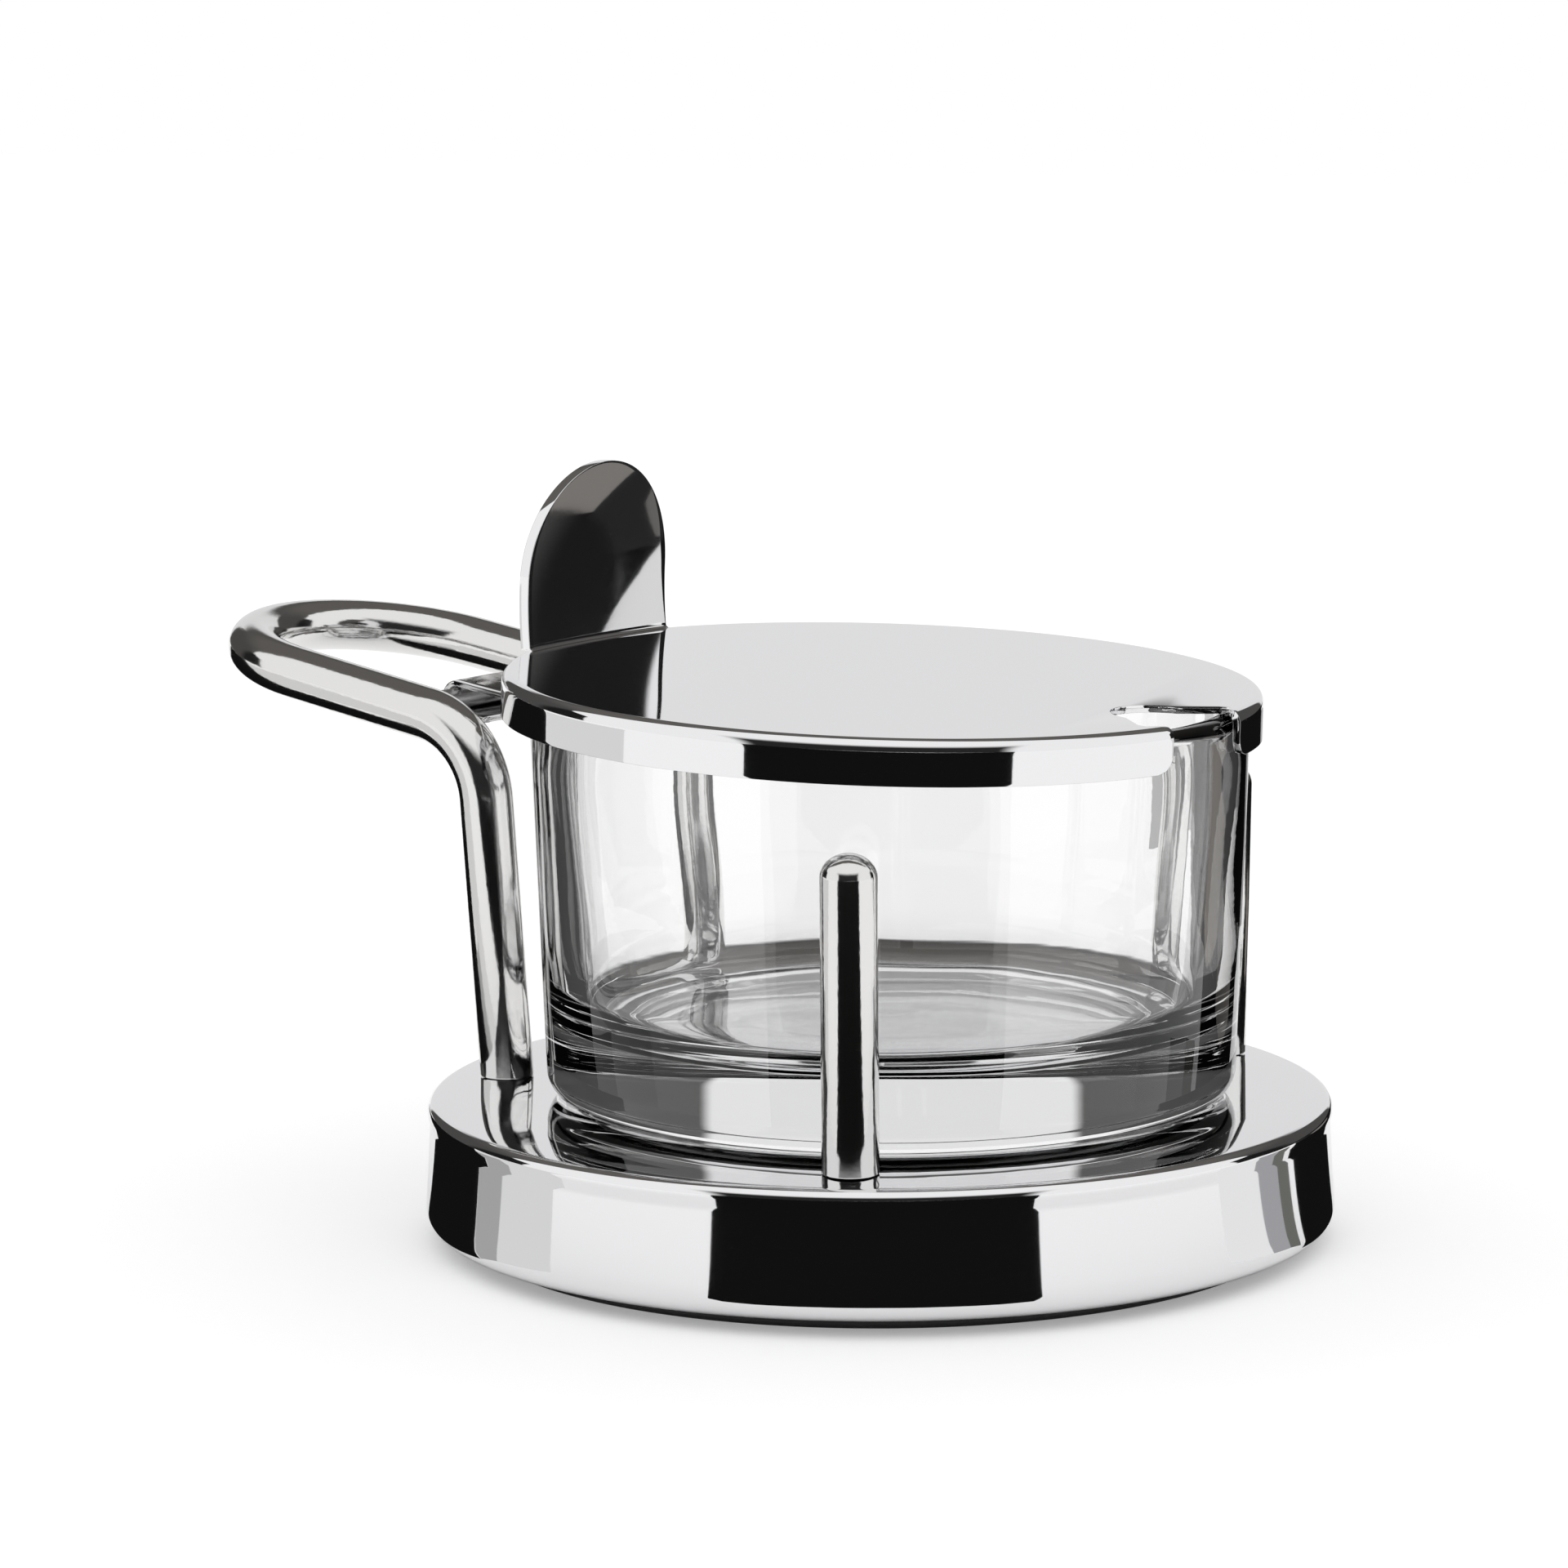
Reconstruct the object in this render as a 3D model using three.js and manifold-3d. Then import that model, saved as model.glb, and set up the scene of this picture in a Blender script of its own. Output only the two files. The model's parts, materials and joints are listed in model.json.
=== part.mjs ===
// Grated cheese server: a glass bowl standing on a drawn steel base, held by two upright pins
// and the legs of a bent rod handle, under a hinged lid with a thumb plate and a spoon notch.
// Millimetres, +Z up. The origin is on the base's axis, on the plane that the foot stands on.
// The handle and the hinge lie towards -X, the spoon notch towards +X.

import * as THREE from 'three';
import { mergeVertices } from 'three/addons/utils/BufferGeometryUtils.js';
import Module from 'manifold-3d';

const wasm = await Module();
wasm.setup();

// Driving dimensions: base
const BASE_RADIUS = 60;
const BASE_SHELL_HEIGHT = 17.13;
const BASE_SHEET = 1.2;
const BASE_EDGE_RADIUS = 2.24;
const BASE_GROOVE_BELOW_TOP = 4.7;
const BASE_GROOVE_DEPTH = 0.35;
const BASE_FLARE = 0.32;
const BASE_LIP_RADIUS = 2.5;
const FOOT_DROP = 2.1;
const FOOT_INSET = 5.67;
const FOOT_CHAMFER = 0.6;
const PAD_FLANGE = 2.2;
const PAD_RIB_INSET = 18;
const PAD_RIB_WALL = 2;
const PAD_SIDE_GAP = 0.3;
const STIFFENER_SIDE_GAP = 0.5;
const STIFFENER_THICKNESS = 3;

// Driving dimensions: rods, pins and their screws
const ROD_RADIUS = 3.6;
const LEG_INSET = 13.51;
const LEG_HALF_SPAN = 20.65;
const LEG_LEAN = THREE.MathUtils.degToRad(4.335);
const BEND_BELOW_RIM = 14.7;
const BEND_RADIUS = 12;
const ARM_RISE = THREE.MathUtils.degToRad(9.32);
const ARM_LENGTH = 22.05;
const LOOP_RADIUS = 19.94;
const PIN_BOWL_GAP = 1.987;
const PIN_ANGLE = THREE.MathUtils.degToRad(61.94);
const PIN_LEAN = THREE.MathUtils.degToRad(1.16);
const PIN_TOP_BELOW_RIM = 11.75;
const SCREW_RADIUS = 1.9;
const SCREW_DEPTH = 8;
const SCREW_HEAD_RADIUS = 3.5;
const SCREW_HEAD_HEIGHT = 2.4;
const SCREW_DRIVE_RADIUS = 1.3;
const SCREW_DRIVE_DEPTH = 1.4;
const WASHER_RADIUS = 4.5;
const WASHER_THICKNESS = 0.8;
const SCREW_CLEARANCE = 0.25;

// Driving dimensions: glass bowl
const BOWL_X = 1.83;
const BOWL_INSET = 14.48;
const BOWL_HEIGHT = 52;
const BOWL_TAPER = THREE.MathUtils.degToRad(2.05);
const BOWL_WALL = 5.2;
const BOWL_RIM_WALL = 4;
const BOWL_FLOOR = 9.5;
const BOWL_FOOT_ROUND = 3.2;
const BOWL_INNER_ROUND = 5;
const BOWL_FLOOR_CROWN = 0.6;

// Driving dimensions: lid, thumb plate and hinge
const LID_SIDE_GAP = 1.719;
const LID_X = 0.83;
const LID_TILT = THREE.MathUtils.degToRad(2.32);
const LID_SHEET = 1;
const LID_RIM_HEIGHT = 5.9;
const LID_EDGE_RADIUS = 1.5;
const LID_SEAT_GAP = 0.3;
const NOTCH_END_RADIUS = 6.5;
const NOTCH_DEPTH = 14.1;
const NOTCH_SPREAD = THREE.MathUtils.degToRad(12);
const NOTCH_CORNER = 2.6;
const PLATE_HALF_WIDTH = 15.5;
const PLATE_SIDE_HEIGHT = 10.2;
const PLATE_ARCH_HEIGHT = 14.3;
const PLATE_ARCH_POWER = 1.85;
const PLATE_THICKNESS = 1.5;
const PLATE_INSET = 2.85;
const PLATE_LEAN = THREE.MathUtils.degToRad(-3.67);
const PLATE_CURL = 4;
const PLATE_DISH = 0.7;
const HINGE_FROM_BEND = 3.4;
const HINGE_ROD_RADIUS = 1.5;
const HINGE_ROD_CLEARANCE = 0.1;
const HINGE_ROD_SEAT = 1.8;
const TONGUE_SHEET = 0.9;
const TONGUE_HALF_WIDTH = 10;
const TONGUE_FLARE_START = 3.5;
const TONGUE_FLARE = THREE.MathUtils.degToRad(35);
const TONGUE_RETURN = 5.2;
const TONGUE_INSET = 1.5;
const TONGUE_SEAT_REACH = 12;
const SEAT_GAP = 0.3;

// How far a cutting shape reaches past the face that it cuts
const CUT_SPARE = 1;

// Facet counts
const BASE_FACETS = 64;
const BOWL_FACETS = 56;
const LID_FACETS = 64;
const PIN_FACETS = 16;
const SCREW_FACETS = 12;
const ROLL_FACETS = 12;
const ROD_FACETS = 14;
const ROD_STEPS = 72;
const ROUND_STEPS = 4;
const PLATE_COLUMNS = 12;
const PLATE_ROWS = 16;
const PLATE_TOP_SHARE = 0.995;

// Places that follow from the driving dimensions
const BASE_TOP = FOOT_DROP + BASE_SHELL_HEIGHT;
const SHELL_UNDERSIDE = BASE_TOP - BASE_SHEET;
const STIFFENER_BOTTOM = SHELL_UNDERSIDE - STIFFENER_THICKNESS;
const WASHER_BOTTOM = STIFFENER_BOTTOM - WASHER_THICKNESS;
const GROOVE_RADIUS = BASE_RADIUS - BASE_GROOVE_DEPTH;
const LIP_RADIUS_OUT = BASE_RADIUS + BASE_FLARE;
const BORE_INSIDE_SHELL = GROOVE_RADIUS - BASE_SHEET;
const FOOT_RADIUS = BASE_RADIUS - FOOT_INSET;
const PAD_RIB_RADIUS = BASE_RADIUS - PAD_RIB_INSET;
const SCREW_HOLE_RADIUS = SCREW_RADIUS + SCREW_CLEARANCE;
const BOWL_FOOT_RADIUS = BASE_RADIUS - BOWL_INSET;
const BOWL_RIM_Z = BASE_TOP + BOWL_HEIGHT;
const BOWL_RIM_RADIUS = BOWL_FOOT_RADIUS + BOWL_HEIGHT * Math.tan(BOWL_TAPER);
const LID_RADIUS = BOWL_RIM_RADIUS + LID_SIDE_GAP + LID_SHEET;
const LEG_X = LEG_INSET - BASE_RADIUS;
const PIN_FROM_BOWL = BOWL_FOOT_RADIUS + PIN_BOWL_GAP + ROD_RADIUS;
const PIN_X = BOWL_X + PIN_FROM_BOWL * Math.cos(PIN_ANGLE);
const PIN_Y = PIN_FROM_BOWL * Math.sin(PIN_ANGLE);
const BEND_START_Z = BOWL_RIM_Z - BEND_BELOW_RIM;
const NOTCH_HALF_WIDTH = NOTCH_END_RADIUS / Math.cos(NOTCH_SPREAD)
  + (NOTCH_DEPTH - NOTCH_END_RADIUS) * Math.tan(NOTCH_SPREAD);

// Materials as the object shows them
const metal = (color, roughness) => new THREE.MeshStandardMaterial({ color, roughness, metalness: 1 });
const mirrorSteel = () => metal(0xdcdcde, 0.05);
const satinSteel = () => metal(0xc2c0bd, 0.28);
const plainSteel = () => metal(0xa9aaac, 0.4);
const darkPlastic = () => new THREE.MeshStandardMaterial({ color: 0x242424, roughness: 0.7, metalness: 0 });
const clearGlass = () => new THREE.MeshStandardMaterial({
  color: 0xf2f5f5, roughness: 0.02, metalness: 0, transparent: true, opacity: 0.35,
});

// Solids and booleans

function solidOf(geometry) {
  const bare = geometry.clone();
  bare.deleteAttribute('normal');
  bare.deleteAttribute('uv');
  const merged = mergeVertices(bare);
  return new wasm.Manifold(new wasm.Mesh({
    numProp: 3,
    vertProperties: new Float32Array(merged.attributes.position.array),
    triVerts: new Uint32Array(merged.index.array),
  }));
}

function geometryOf(solid) {
  const mesh = solid.getMesh();
  const geometry = new THREE.BufferGeometry();
  geometry.setAttribute('position', new THREE.BufferAttribute(mesh.vertProperties, 3));
  geometry.setIndex(new THREE.BufferAttribute(mesh.triVerts, 1));
  geometry.computeVertexNormals();
  return geometry;
}

function piece(name, solid, material) {
  const mesh = new THREE.Mesh(geometryOf(solid), material);
  mesh.name = name;
  return mesh;
}

// A turned solid about Z from [radius, z] points that run counter-clockwise.
function turned(points, facets) {
  const profile = points.map(([radius, z]) => new THREE.Vector2(radius, z));
  const geometry = new THREE.LatheGeometry(profile, facets);
  geometry.rotateX(Math.PI / 2);
  return solidOf(geometry);
}

function upright(radius, bottom, top, facets, x = 0, y = 0) {
  const geometry = new THREE.CylinderGeometry(radius, radius, top - bottom, facets);
  geometry.rotateX(Math.PI / 2);
  geometry.translate(x, y, (top + bottom) / 2);
  return solidOf(geometry);
}

// Points on an arc in a plane, from one angle to another, both ends included.
function arc(centreA, centreB, radius, from, to, steps = ROUND_STEPS) {
  const points = [];
  for (let i = 0; i <= steps; i += 1) {
    const angle = from + (to - from) * i / steps;
    points.push([centreA + radius * Math.cos(angle), centreB + radius * Math.sin(angle)]);
  }
  return points;
}

// The inside radius of a round in a sheet, never quite sharp.
function insideRound(radius, sheet) {
  return Math.max(radius - sheet, sheet / 4);
}

// Everything below a level, as a solid to take away.
function groundBelow(level) {
  const reach = 4 * BASE_RADIUS;
  const block = new THREE.BoxGeometry(reach, reach, reach);
  block.translate(0, 0, level - reach / 2);
  return solidOf(block);
}

// The four posts, each with the place of its screw.
function postFeet() {
  return [
    { name: 'leg_front', x: LEG_X, y: -LEG_HALF_SPAN },
    { name: 'leg_rear', x: LEG_X, y: LEG_HALF_SPAN },
    { name: 'pin_front', x: PIN_X, y: -PIN_Y },
    { name: 'pin_rear', x: PIN_X, y: PIN_Y },
  ];
}

function drillAll(solid, radius, bottom, top) {
  let drilled = solid;
  for (const { x, y } of postFeet()) {
    drilled = drilled.subtract(upright(radius, bottom, top, SCREW_FACETS, x, y));
  }
  return drilled;
}

// Base

// Drawn drum, open below: flat top, rounded edge, shallow groove, flared wall, rolled-in lip.
function baseShell() {
  const edgeCentre = BASE_RADIUS - BASE_EDGE_RADIUS;
  const edgeZ = BASE_TOP - BASE_EDGE_RADIUS;
  const grooveZ = BASE_TOP - BASE_GROOVE_BELOW_TOP;
  const lipCentre = LIP_RADIUS_OUT - BASE_LIP_RADIUS;
  const lipZ = FOOT_DROP + BASE_LIP_RADIUS;
  const innerLip = insideRound(BASE_LIP_RADIUS, BASE_SHEET);
  const innerLipCentre = LIP_RADIUS_OUT - BASE_SHEET - innerLip;
  const innerLipZ = FOOT_DROP + BASE_SHEET + innerLip;
  const innerEdge = insideRound(BASE_EDGE_RADIUS, BASE_SHEET);
  const drum = turned([
    [0, SHELL_UNDERSIDE],
    ...arc(BORE_INSIDE_SHELL - innerEdge, SHELL_UNDERSIDE - innerEdge, innerEdge, Math.PI / 2, 0, 2),
    [BORE_INSIDE_SHELL, grooveZ],
    ...arc(innerLipCentre, innerLipZ, innerLip, 0, -Math.PI / 2, 2),
    ...arc(lipCentre, lipZ, BASE_LIP_RADIUS, -Math.PI / 2, 0),
    [GROOVE_RADIUS, grooveZ],
    ...arc(edgeCentre, edgeZ, BASE_EDGE_RADIUS, 0, Math.PI / 2),
    [0, BASE_TOP],
  ], BASE_FACETS);
  return drillAll(drum, SCREW_HOLE_RADIUS, SHELL_UNDERSIDE - CUT_SPARE, BASE_TOP + CUT_SPARE);
}

// Flat disc under the top that stiffens it where the four posts are screwed down.
function baseStiffener() {
  const radius = BORE_INSIDE_SHELL - BASE_EDGE_RADIUS - STIFFENER_SIDE_GAP;
  const disc = upright(radius, STIFFENER_BOTTOM, SHELL_UNDERSIDE, BASE_FACETS);
  return drillAll(disc, SCREW_HOLE_RADIUS, STIFFENER_BOTTOM - CUT_SPARE, SHELL_UNDERSIDE + CUT_SPARE);
}

// Dark closing pad: the foot below, a flange inside the lip, and a rib up to the stiffener.
function footPad() {
  const openRadius = LIP_RADIUS_OUT - BASE_LIP_RADIUS - PAD_SIDE_GAP;
  const flangeTop = FOOT_DROP + PAD_FLANGE;
  const ribOuter = PAD_RIB_RADIUS;
  const ribInner = PAD_RIB_RADIUS - PAD_RIB_WALL;
  return turned([
    [0, 0],
    [FOOT_RADIUS - FOOT_CHAMFER, 0],
    [FOOT_RADIUS, FOOT_CHAMFER],
    [FOOT_RADIUS, FOOT_DROP],
    [openRadius, FOOT_DROP],
    [openRadius, flangeTop],
    [ribOuter, flangeTop],
    [ribOuter, STIFFENER_BOTTOM],
    [ribInner, STIFFENER_BOTTOM],
    [ribInner, flangeTop],
    [0, flangeTop],
  ], BASE_FACETS);
}

// Rods and pins

// An arc of a circle in space: from the centre, out along one direction, turning to another.
class Arc3 extends THREE.Curve {
  constructor(centre, out, forward, radius, angle) {
    super();
    this.centre = centre;
    this.out = out;
    this.forward = forward;
    this.radius = radius;
    this.angle = angle;
  }

  getPoint(t, target = new THREE.Vector3()) {
    const turn = this.angle * t;
    target.copy(this.centre);
    target.addScaledVector(this.out, this.radius * Math.cos(turn));
    return target.addScaledVector(this.forward, this.radius * Math.sin(turn));
  }
}

// Key points of the handle's centreline in the X-Z plane of one leg.
function handlePlan() {
  const legDirection = new THREE.Vector3(-Math.sin(LEG_LEAN), 0, Math.cos(LEG_LEAN));
  const armDirection = new THREE.Vector3(-Math.cos(ARM_RISE), 0, Math.sin(ARM_RISE));
  const legLength = (BEND_START_Z - BASE_TOP) / Math.cos(LEG_LEAN);
  const foot = new THREE.Vector3(LEG_X, 0, BASE_TOP);
  const bendStart = foot.clone().addScaledVector(legDirection, legLength);
  const inward = new THREE.Vector3(-Math.cos(LEG_LEAN), 0, -Math.sin(LEG_LEAN));
  const bendCentre = bendStart.clone().addScaledVector(inward, BEND_RADIUS);
  const bendAngle = Math.PI / 2 - LEG_LEAN - ARM_RISE;
  const bend = new Arc3(bendCentre, inward.clone().negate(), legDirection, BEND_RADIUS, bendAngle);
  const bendEnd = bend.getPoint(1);
  const armEnd = bendEnd.clone().addScaledVector(armDirection, ARM_LENGTH);
  const hinge = bendEnd.clone().addScaledVector(armDirection, HINGE_FROM_BEND);
  return {
    legDirection, armDirection, foot, bendStart, bendCentre, inward, bendAngle, bendEnd, armEnd, hinge,
  };
}

const HANDLE = handlePlan();

// The whole centreline, from below the front foot, round the loop, to below the rear foot.
function handlePath() {
  const spare = 2 * ROD_RADIUS;
  const at = (point, y) => new THREE.Vector3(point.x, y, point.z);
  const start = HANDLE.foot.clone().addScaledVector(HANDLE.legDirection, -spare);
  const out = HANDLE.inward.clone().negate();
  const path = new THREE.CurvePath();
  const bendAt = (y) => {
    const centre = at(HANDLE.bendCentre, y);
    return new Arc3(centre, out, HANDLE.legDirection, BEND_RADIUS, HANDLE.bendAngle);
  };
  const loopCentre = at(HANDLE.armEnd, 0);
  const front = new THREE.Vector3(0, -1, 0);
  const rearBend = bendAt(LEG_HALF_SPAN);
  const rearOut = rearBend.getPoint(1).sub(rearBend.centre).normalize();
  const rearForward = HANDLE.armDirection.clone().negate();
  path.add(new THREE.LineCurve3(at(start, -LEG_HALF_SPAN), at(HANDLE.bendStart, -LEG_HALF_SPAN)));
  path.add(bendAt(-LEG_HALF_SPAN));
  path.add(new THREE.LineCurve3(at(HANDLE.bendEnd, -LEG_HALF_SPAN), at(HANDLE.armEnd, -LOOP_RADIUS)));
  path.add(new Arc3(loopCentre, front, HANDLE.armDirection, LOOP_RADIUS, Math.PI));
  path.add(new THREE.LineCurve3(at(HANDLE.armEnd, LOOP_RADIUS), at(HANDLE.bendEnd, LEG_HALF_SPAN)));
  path.add(new Arc3(rearBend.centre, rearOut, rearForward, BEND_RADIUS, HANDLE.bendAngle));
  path.add(new THREE.LineCurve3(at(HANDLE.bendStart, LEG_HALF_SPAN), at(start, LEG_HALF_SPAN)));
  return path;
}

// A round rod along a path, as a closed solid.
function rodAlong(path, radius, steps) {
  const section = new THREE.Shape();
  for (let i = 0; i < ROD_FACETS; i += 1) {
    const angle = 2 * Math.PI * i / ROD_FACETS;
    const x = radius * Math.cos(angle);
    const y = radius * Math.sin(angle);
    if (i === 0) section.moveTo(x, y);
    else section.lineTo(x, y);
  }
  section.closePath();
  return solidOf(new THREE.ExtrudeGeometry(section, { steps, extrudePath: path, bevelEnabled: false }));
}

function hingeRodLength() {
  return 2 * (LEG_HALF_SPAN - ROD_RADIUS + HINGE_ROD_SEAT);
}

function crossRod(radius, length) {
  const geometry = new THREE.CylinderGeometry(radius, radius, length, 2 * ROLL_FACETS);
  geometry.translate(HANDLE.hinge.x, 0, HANDLE.hinge.z);
  return solidOf(geometry);
}

// One bent rod: both legs, both arms and the finger loop, feet cut level with the base's top.
function handleRod() {
  const rod = rodAlong(handlePath(), ROD_RADIUS, ROD_STEPS);
  const seated = rod.subtract(groundBelow(BASE_TOP));
  const pocket = crossRod(HINGE_ROD_RADIUS + SEAT_GAP, hingeRodLength() + 2 * SEAT_GAP);
  return drillAll(seated.subtract(pocket), SCREW_HOLE_RADIUS, BASE_TOP - CUT_SPARE, BASE_TOP + SCREW_DEPTH);
}

// Round-topped pin beside the bowl, leaning outward with it, its foot cut level.
function bowlPin(side) {
  const height = (BOWL_RIM_Z - PIN_TOP_BELOW_RIM - BASE_TOP) / Math.cos(PIN_LEAN);
  const shoulder = height - ROD_RADIUS;
  const blank = turned([
    [0, -ROD_RADIUS],
    [ROD_RADIUS, -ROD_RADIUS],
    ...arc(0, shoulder, ROD_RADIUS, 0, Math.PI / 2),
  ], PIN_FACETS);
  const outward = new THREE.Vector3(PIN_X - BOWL_X, side * PIN_Y, 0).normalize();
  const lean = new THREE.Vector3(0, 0, Math.cos(PIN_LEAN)).addScaledVector(outward, Math.sin(PIN_LEAN));
  const turn = new THREE.Quaternion().setFromUnitVectors(new THREE.Vector3(0, 0, 1), lean);
  const place = new THREE.Matrix4().compose(
    new THREE.Vector3(PIN_X, side * PIN_Y, BASE_TOP), turn, new THREE.Vector3(1, 1, 1),
  );
  const geometry = geometryOf(blank);
  geometry.applyMatrix4(place);
  const seated = solidOf(geometry).subtract(groundBelow(BASE_TOP));
  return drillAll(seated, SCREW_HOLE_RADIUS, BASE_TOP - CUT_SPARE, BASE_TOP + SCREW_DEPTH);
}

// Pan-head screw from below, with a recess in its head.
function screw({ x, y }) {
  const headBottom = WASHER_BOTTOM - SCREW_HEAD_HEIGHT;
  const tip = BASE_TOP + SCREW_DEPTH - SCREW_CLEARANCE;
  const body = turned([
    [0, headBottom],
    [SCREW_HEAD_RADIUS - SCREW_HEAD_HEIGHT / 4, headBottom],
    [SCREW_HEAD_RADIUS, headBottom + SCREW_HEAD_HEIGHT / 2],
    [SCREW_HEAD_RADIUS, WASHER_BOTTOM],
    [SCREW_RADIUS, WASHER_BOTTOM],
    [SCREW_RADIUS, tip],
    [0, tip],
  ], SCREW_FACETS);
  const recessTop = headBottom + SCREW_DRIVE_DEPTH;
  const recess = upright(SCREW_DRIVE_RADIUS, headBottom - CUT_SPARE, recessTop, SCREW_FACETS / 2);
  return body.subtract(recess).translate([x, y, 0]);
}

function washer({ x, y }) {
  const disc = upright(WASHER_RADIUS, WASHER_BOTTOM, STIFFENER_BOTTOM, SCREW_FACETS, x, y);
  const low = WASHER_BOTTOM - CUT_SPARE;
  const high = STIFFENER_BOTTOM + CUT_SPARE;
  return disc.subtract(upright(SCREW_HOLE_RADIUS, low, high, SCREW_FACETS, x, y));
}

// Cross rod that the lid swings on, its ends seated in pockets in the two legs.
function hingeRod() {
  return crossRod(HINGE_ROD_RADIUS, hingeRodLength());
}

// Glass

// Thick tapered bowl: rounded foot, heavy floor with a low crown, rounded rim.
function glassBowl() {
  const widen = Math.tan(BOWL_TAPER);
  const outerAt = (z) => BOWL_FOOT_RADIUS + widen * z;
  const rimRound = BOWL_RIM_WALL / 2;
  const rimMiddle = BOWL_RIM_RADIUS - rimRound;
  const innerFoot = BOWL_FOOT_RADIUS - BOWL_WALL;
  const footCentre = outerAt(BOWL_FOOT_ROUND) - BOWL_FOOT_ROUND;
  return turned([
    [0, 0],
    ...arc(footCentre, BOWL_FOOT_ROUND, BOWL_FOOT_ROUND, -Math.PI / 2, 0),
    ...arc(rimMiddle, BOWL_HEIGHT - rimRound, rimRound, 0, Math.PI, 6),
    ...arc(innerFoot - BOWL_INNER_ROUND, BOWL_FLOOR + BOWL_INNER_ROUND, BOWL_INNER_ROUND, 0, -Math.PI / 2),
    [0, BOWL_FLOOR + BOWL_FLOOR_CROWN],
  ], BOWL_FACETS);
}

// Lid, in its own frame: the disc's top is z = 0, the disc's axis is Z

// Outline of the spoon notch in the disc: a round inner end and sides that spread to the rim.
function notchPlan() {
  const endX = LID_RADIUS - NOTCH_DEPTH + NOTCH_END_RADIUS;
  const outX = LID_RADIUS + CUT_SPARE;
  const spread = Math.PI / 2 + NOTCH_SPREAD;
  const round = arc(endX, 0, NOTCH_END_RADIUS, spread, 2 * Math.PI - spread, 3 * ROUND_STEPS);
  const outY = NOTCH_HALF_WIDTH + CUT_SPARE * Math.tan(NOTCH_SPREAD);
  return [[outX, outY], ...round, [outX, -outY]];
}

// Outline of the notch in the rim, seen along X: rounded corners above and below.
function notchFront() {
  const side = NOTCH_HALF_WIDTH + NOTCH_CORNER;
  const low = NOTCH_CORNER - LID_RIM_HEIGHT;
  const below = -LID_RIM_HEIGHT - CUT_SPARE;
  const quarter = Math.PI / 2;
  return [
    [-side, CUT_SPARE],
    ...arc(-side, -NOTCH_CORNER, NOTCH_CORNER, quarter, 0),
    ...arc(-side, low, NOTCH_CORNER, 0, -quarter),
    [-side, below],
    [side, below],
    ...arc(side, low, NOTCH_CORNER, 3 * quarter, 2 * quarter),
    ...arc(side, -NOTCH_CORNER, NOTCH_CORNER, 2 * quarter, quarter),
    [side, CUT_SPARE],
  ];
}

// A flat outline pulled up to a height, from z = 0.
function pulled(outline, height) {
  const shape = new THREE.Shape(outline.map(([a, b]) => new THREE.Vector2(a, b)));
  return new THREE.ExtrudeGeometry(shape, { depth: height, bevelEnabled: false });
}

function lidDisc() {
  const inner = LID_RADIUS - LID_SHEET;
  const innerEdge = insideRound(LID_EDGE_RADIUS, LID_SHEET);
  const cap = turned([
    [0, -LID_SHEET],
    ...arc(inner - innerEdge, -LID_SHEET - innerEdge, innerEdge, Math.PI / 2, 0, 2),
    [inner, -LID_RIM_HEIGHT],
    [LID_RADIUS, -LID_RIM_HEIGHT],
    ...arc(LID_RADIUS - LID_EDGE_RADIUS, -LID_EDGE_RADIUS, LID_EDGE_RADIUS, 0, Math.PI / 2),
    [0, 0],
  ], LID_FACETS);
  const plan = pulled(notchPlan(), 3 * LID_RIM_HEIGHT);
  plan.translate(0, 0, -2 * LID_RIM_HEIGHT);
  const front = pulled(notchFront(), NOTCH_CORNER + LID_RIM_HEIGHT);
  front.applyMatrix4(new THREE.Matrix4().makeBasis(
    new THREE.Vector3(0, 1, 0), new THREE.Vector3(0, 0, 1), new THREE.Vector3(1, 0, 0),
  ));
  front.translate(LID_RADIUS - LID_EDGE_RADIUS - LID_SHEET, 0, 0);
  return cap.subtract(solidOf(plan)).subtract(solidOf(front));
}

// Half the thumb plate's width at a height above the lid.
function plateHalfWidth(z) {
  if (z <= PLATE_SIDE_HEIGHT) return PLATE_HALF_WIDTH;
  const share = Math.min((z - PLATE_SIDE_HEIGHT) / PLATE_ARCH_HEIGHT, 1);
  return PLATE_HALF_WIDTH * (1 - share ** PLATE_ARCH_POWER) ** (1 / PLATE_ARCH_POWER);
}

// Upright sheet at the lid's back edge, round-topped, curled forward and slightly dished.
function thumbPlate() {
  const height = PLATE_SIDE_HEIGHT + PLATE_ARCH_HEIGHT;
  const geometry = new THREE.BoxGeometry(1, 1, 1, 1, PLATE_COLUMNS, PLATE_ROWS);
  const position = geometry.attributes.position;
  const backX = PLATE_INSET - LID_RADIUS - PLATE_THICKNESS;
  for (let i = 0; i < position.count; i += 1) {
    const row = position.getZ(i) + 0.5;
    const z = height * Math.sin(row * Math.PI / 2) * PLATE_TOP_SHARE;
    const y = 2 * position.getY(i) * plateHalfWidth(z);
    const rise = SEAT_GAP + z * Math.cos(PLATE_LEAN) * (height - SEAT_GAP) / height;
    const curl = PLATE_CURL * (z / height) ** 2;
    const dish = PLATE_DISH * (y / PLATE_HALF_WIDTH) ** 2;
    const x = backX + PLATE_THICKNESS * (position.getX(i) + 0.5) + z * Math.sin(PLATE_LEAN) + curl + dish;
    position.setXYZ(i, x, y, rise);
  }
  return solidOf(geometry);
}

// The hinge axis in the lid's frame.
function hingeInLid(lidFrame) {
  return HANDLE.hinge.clone().applyMatrix4(lidFrame.clone().invert());
}

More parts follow.
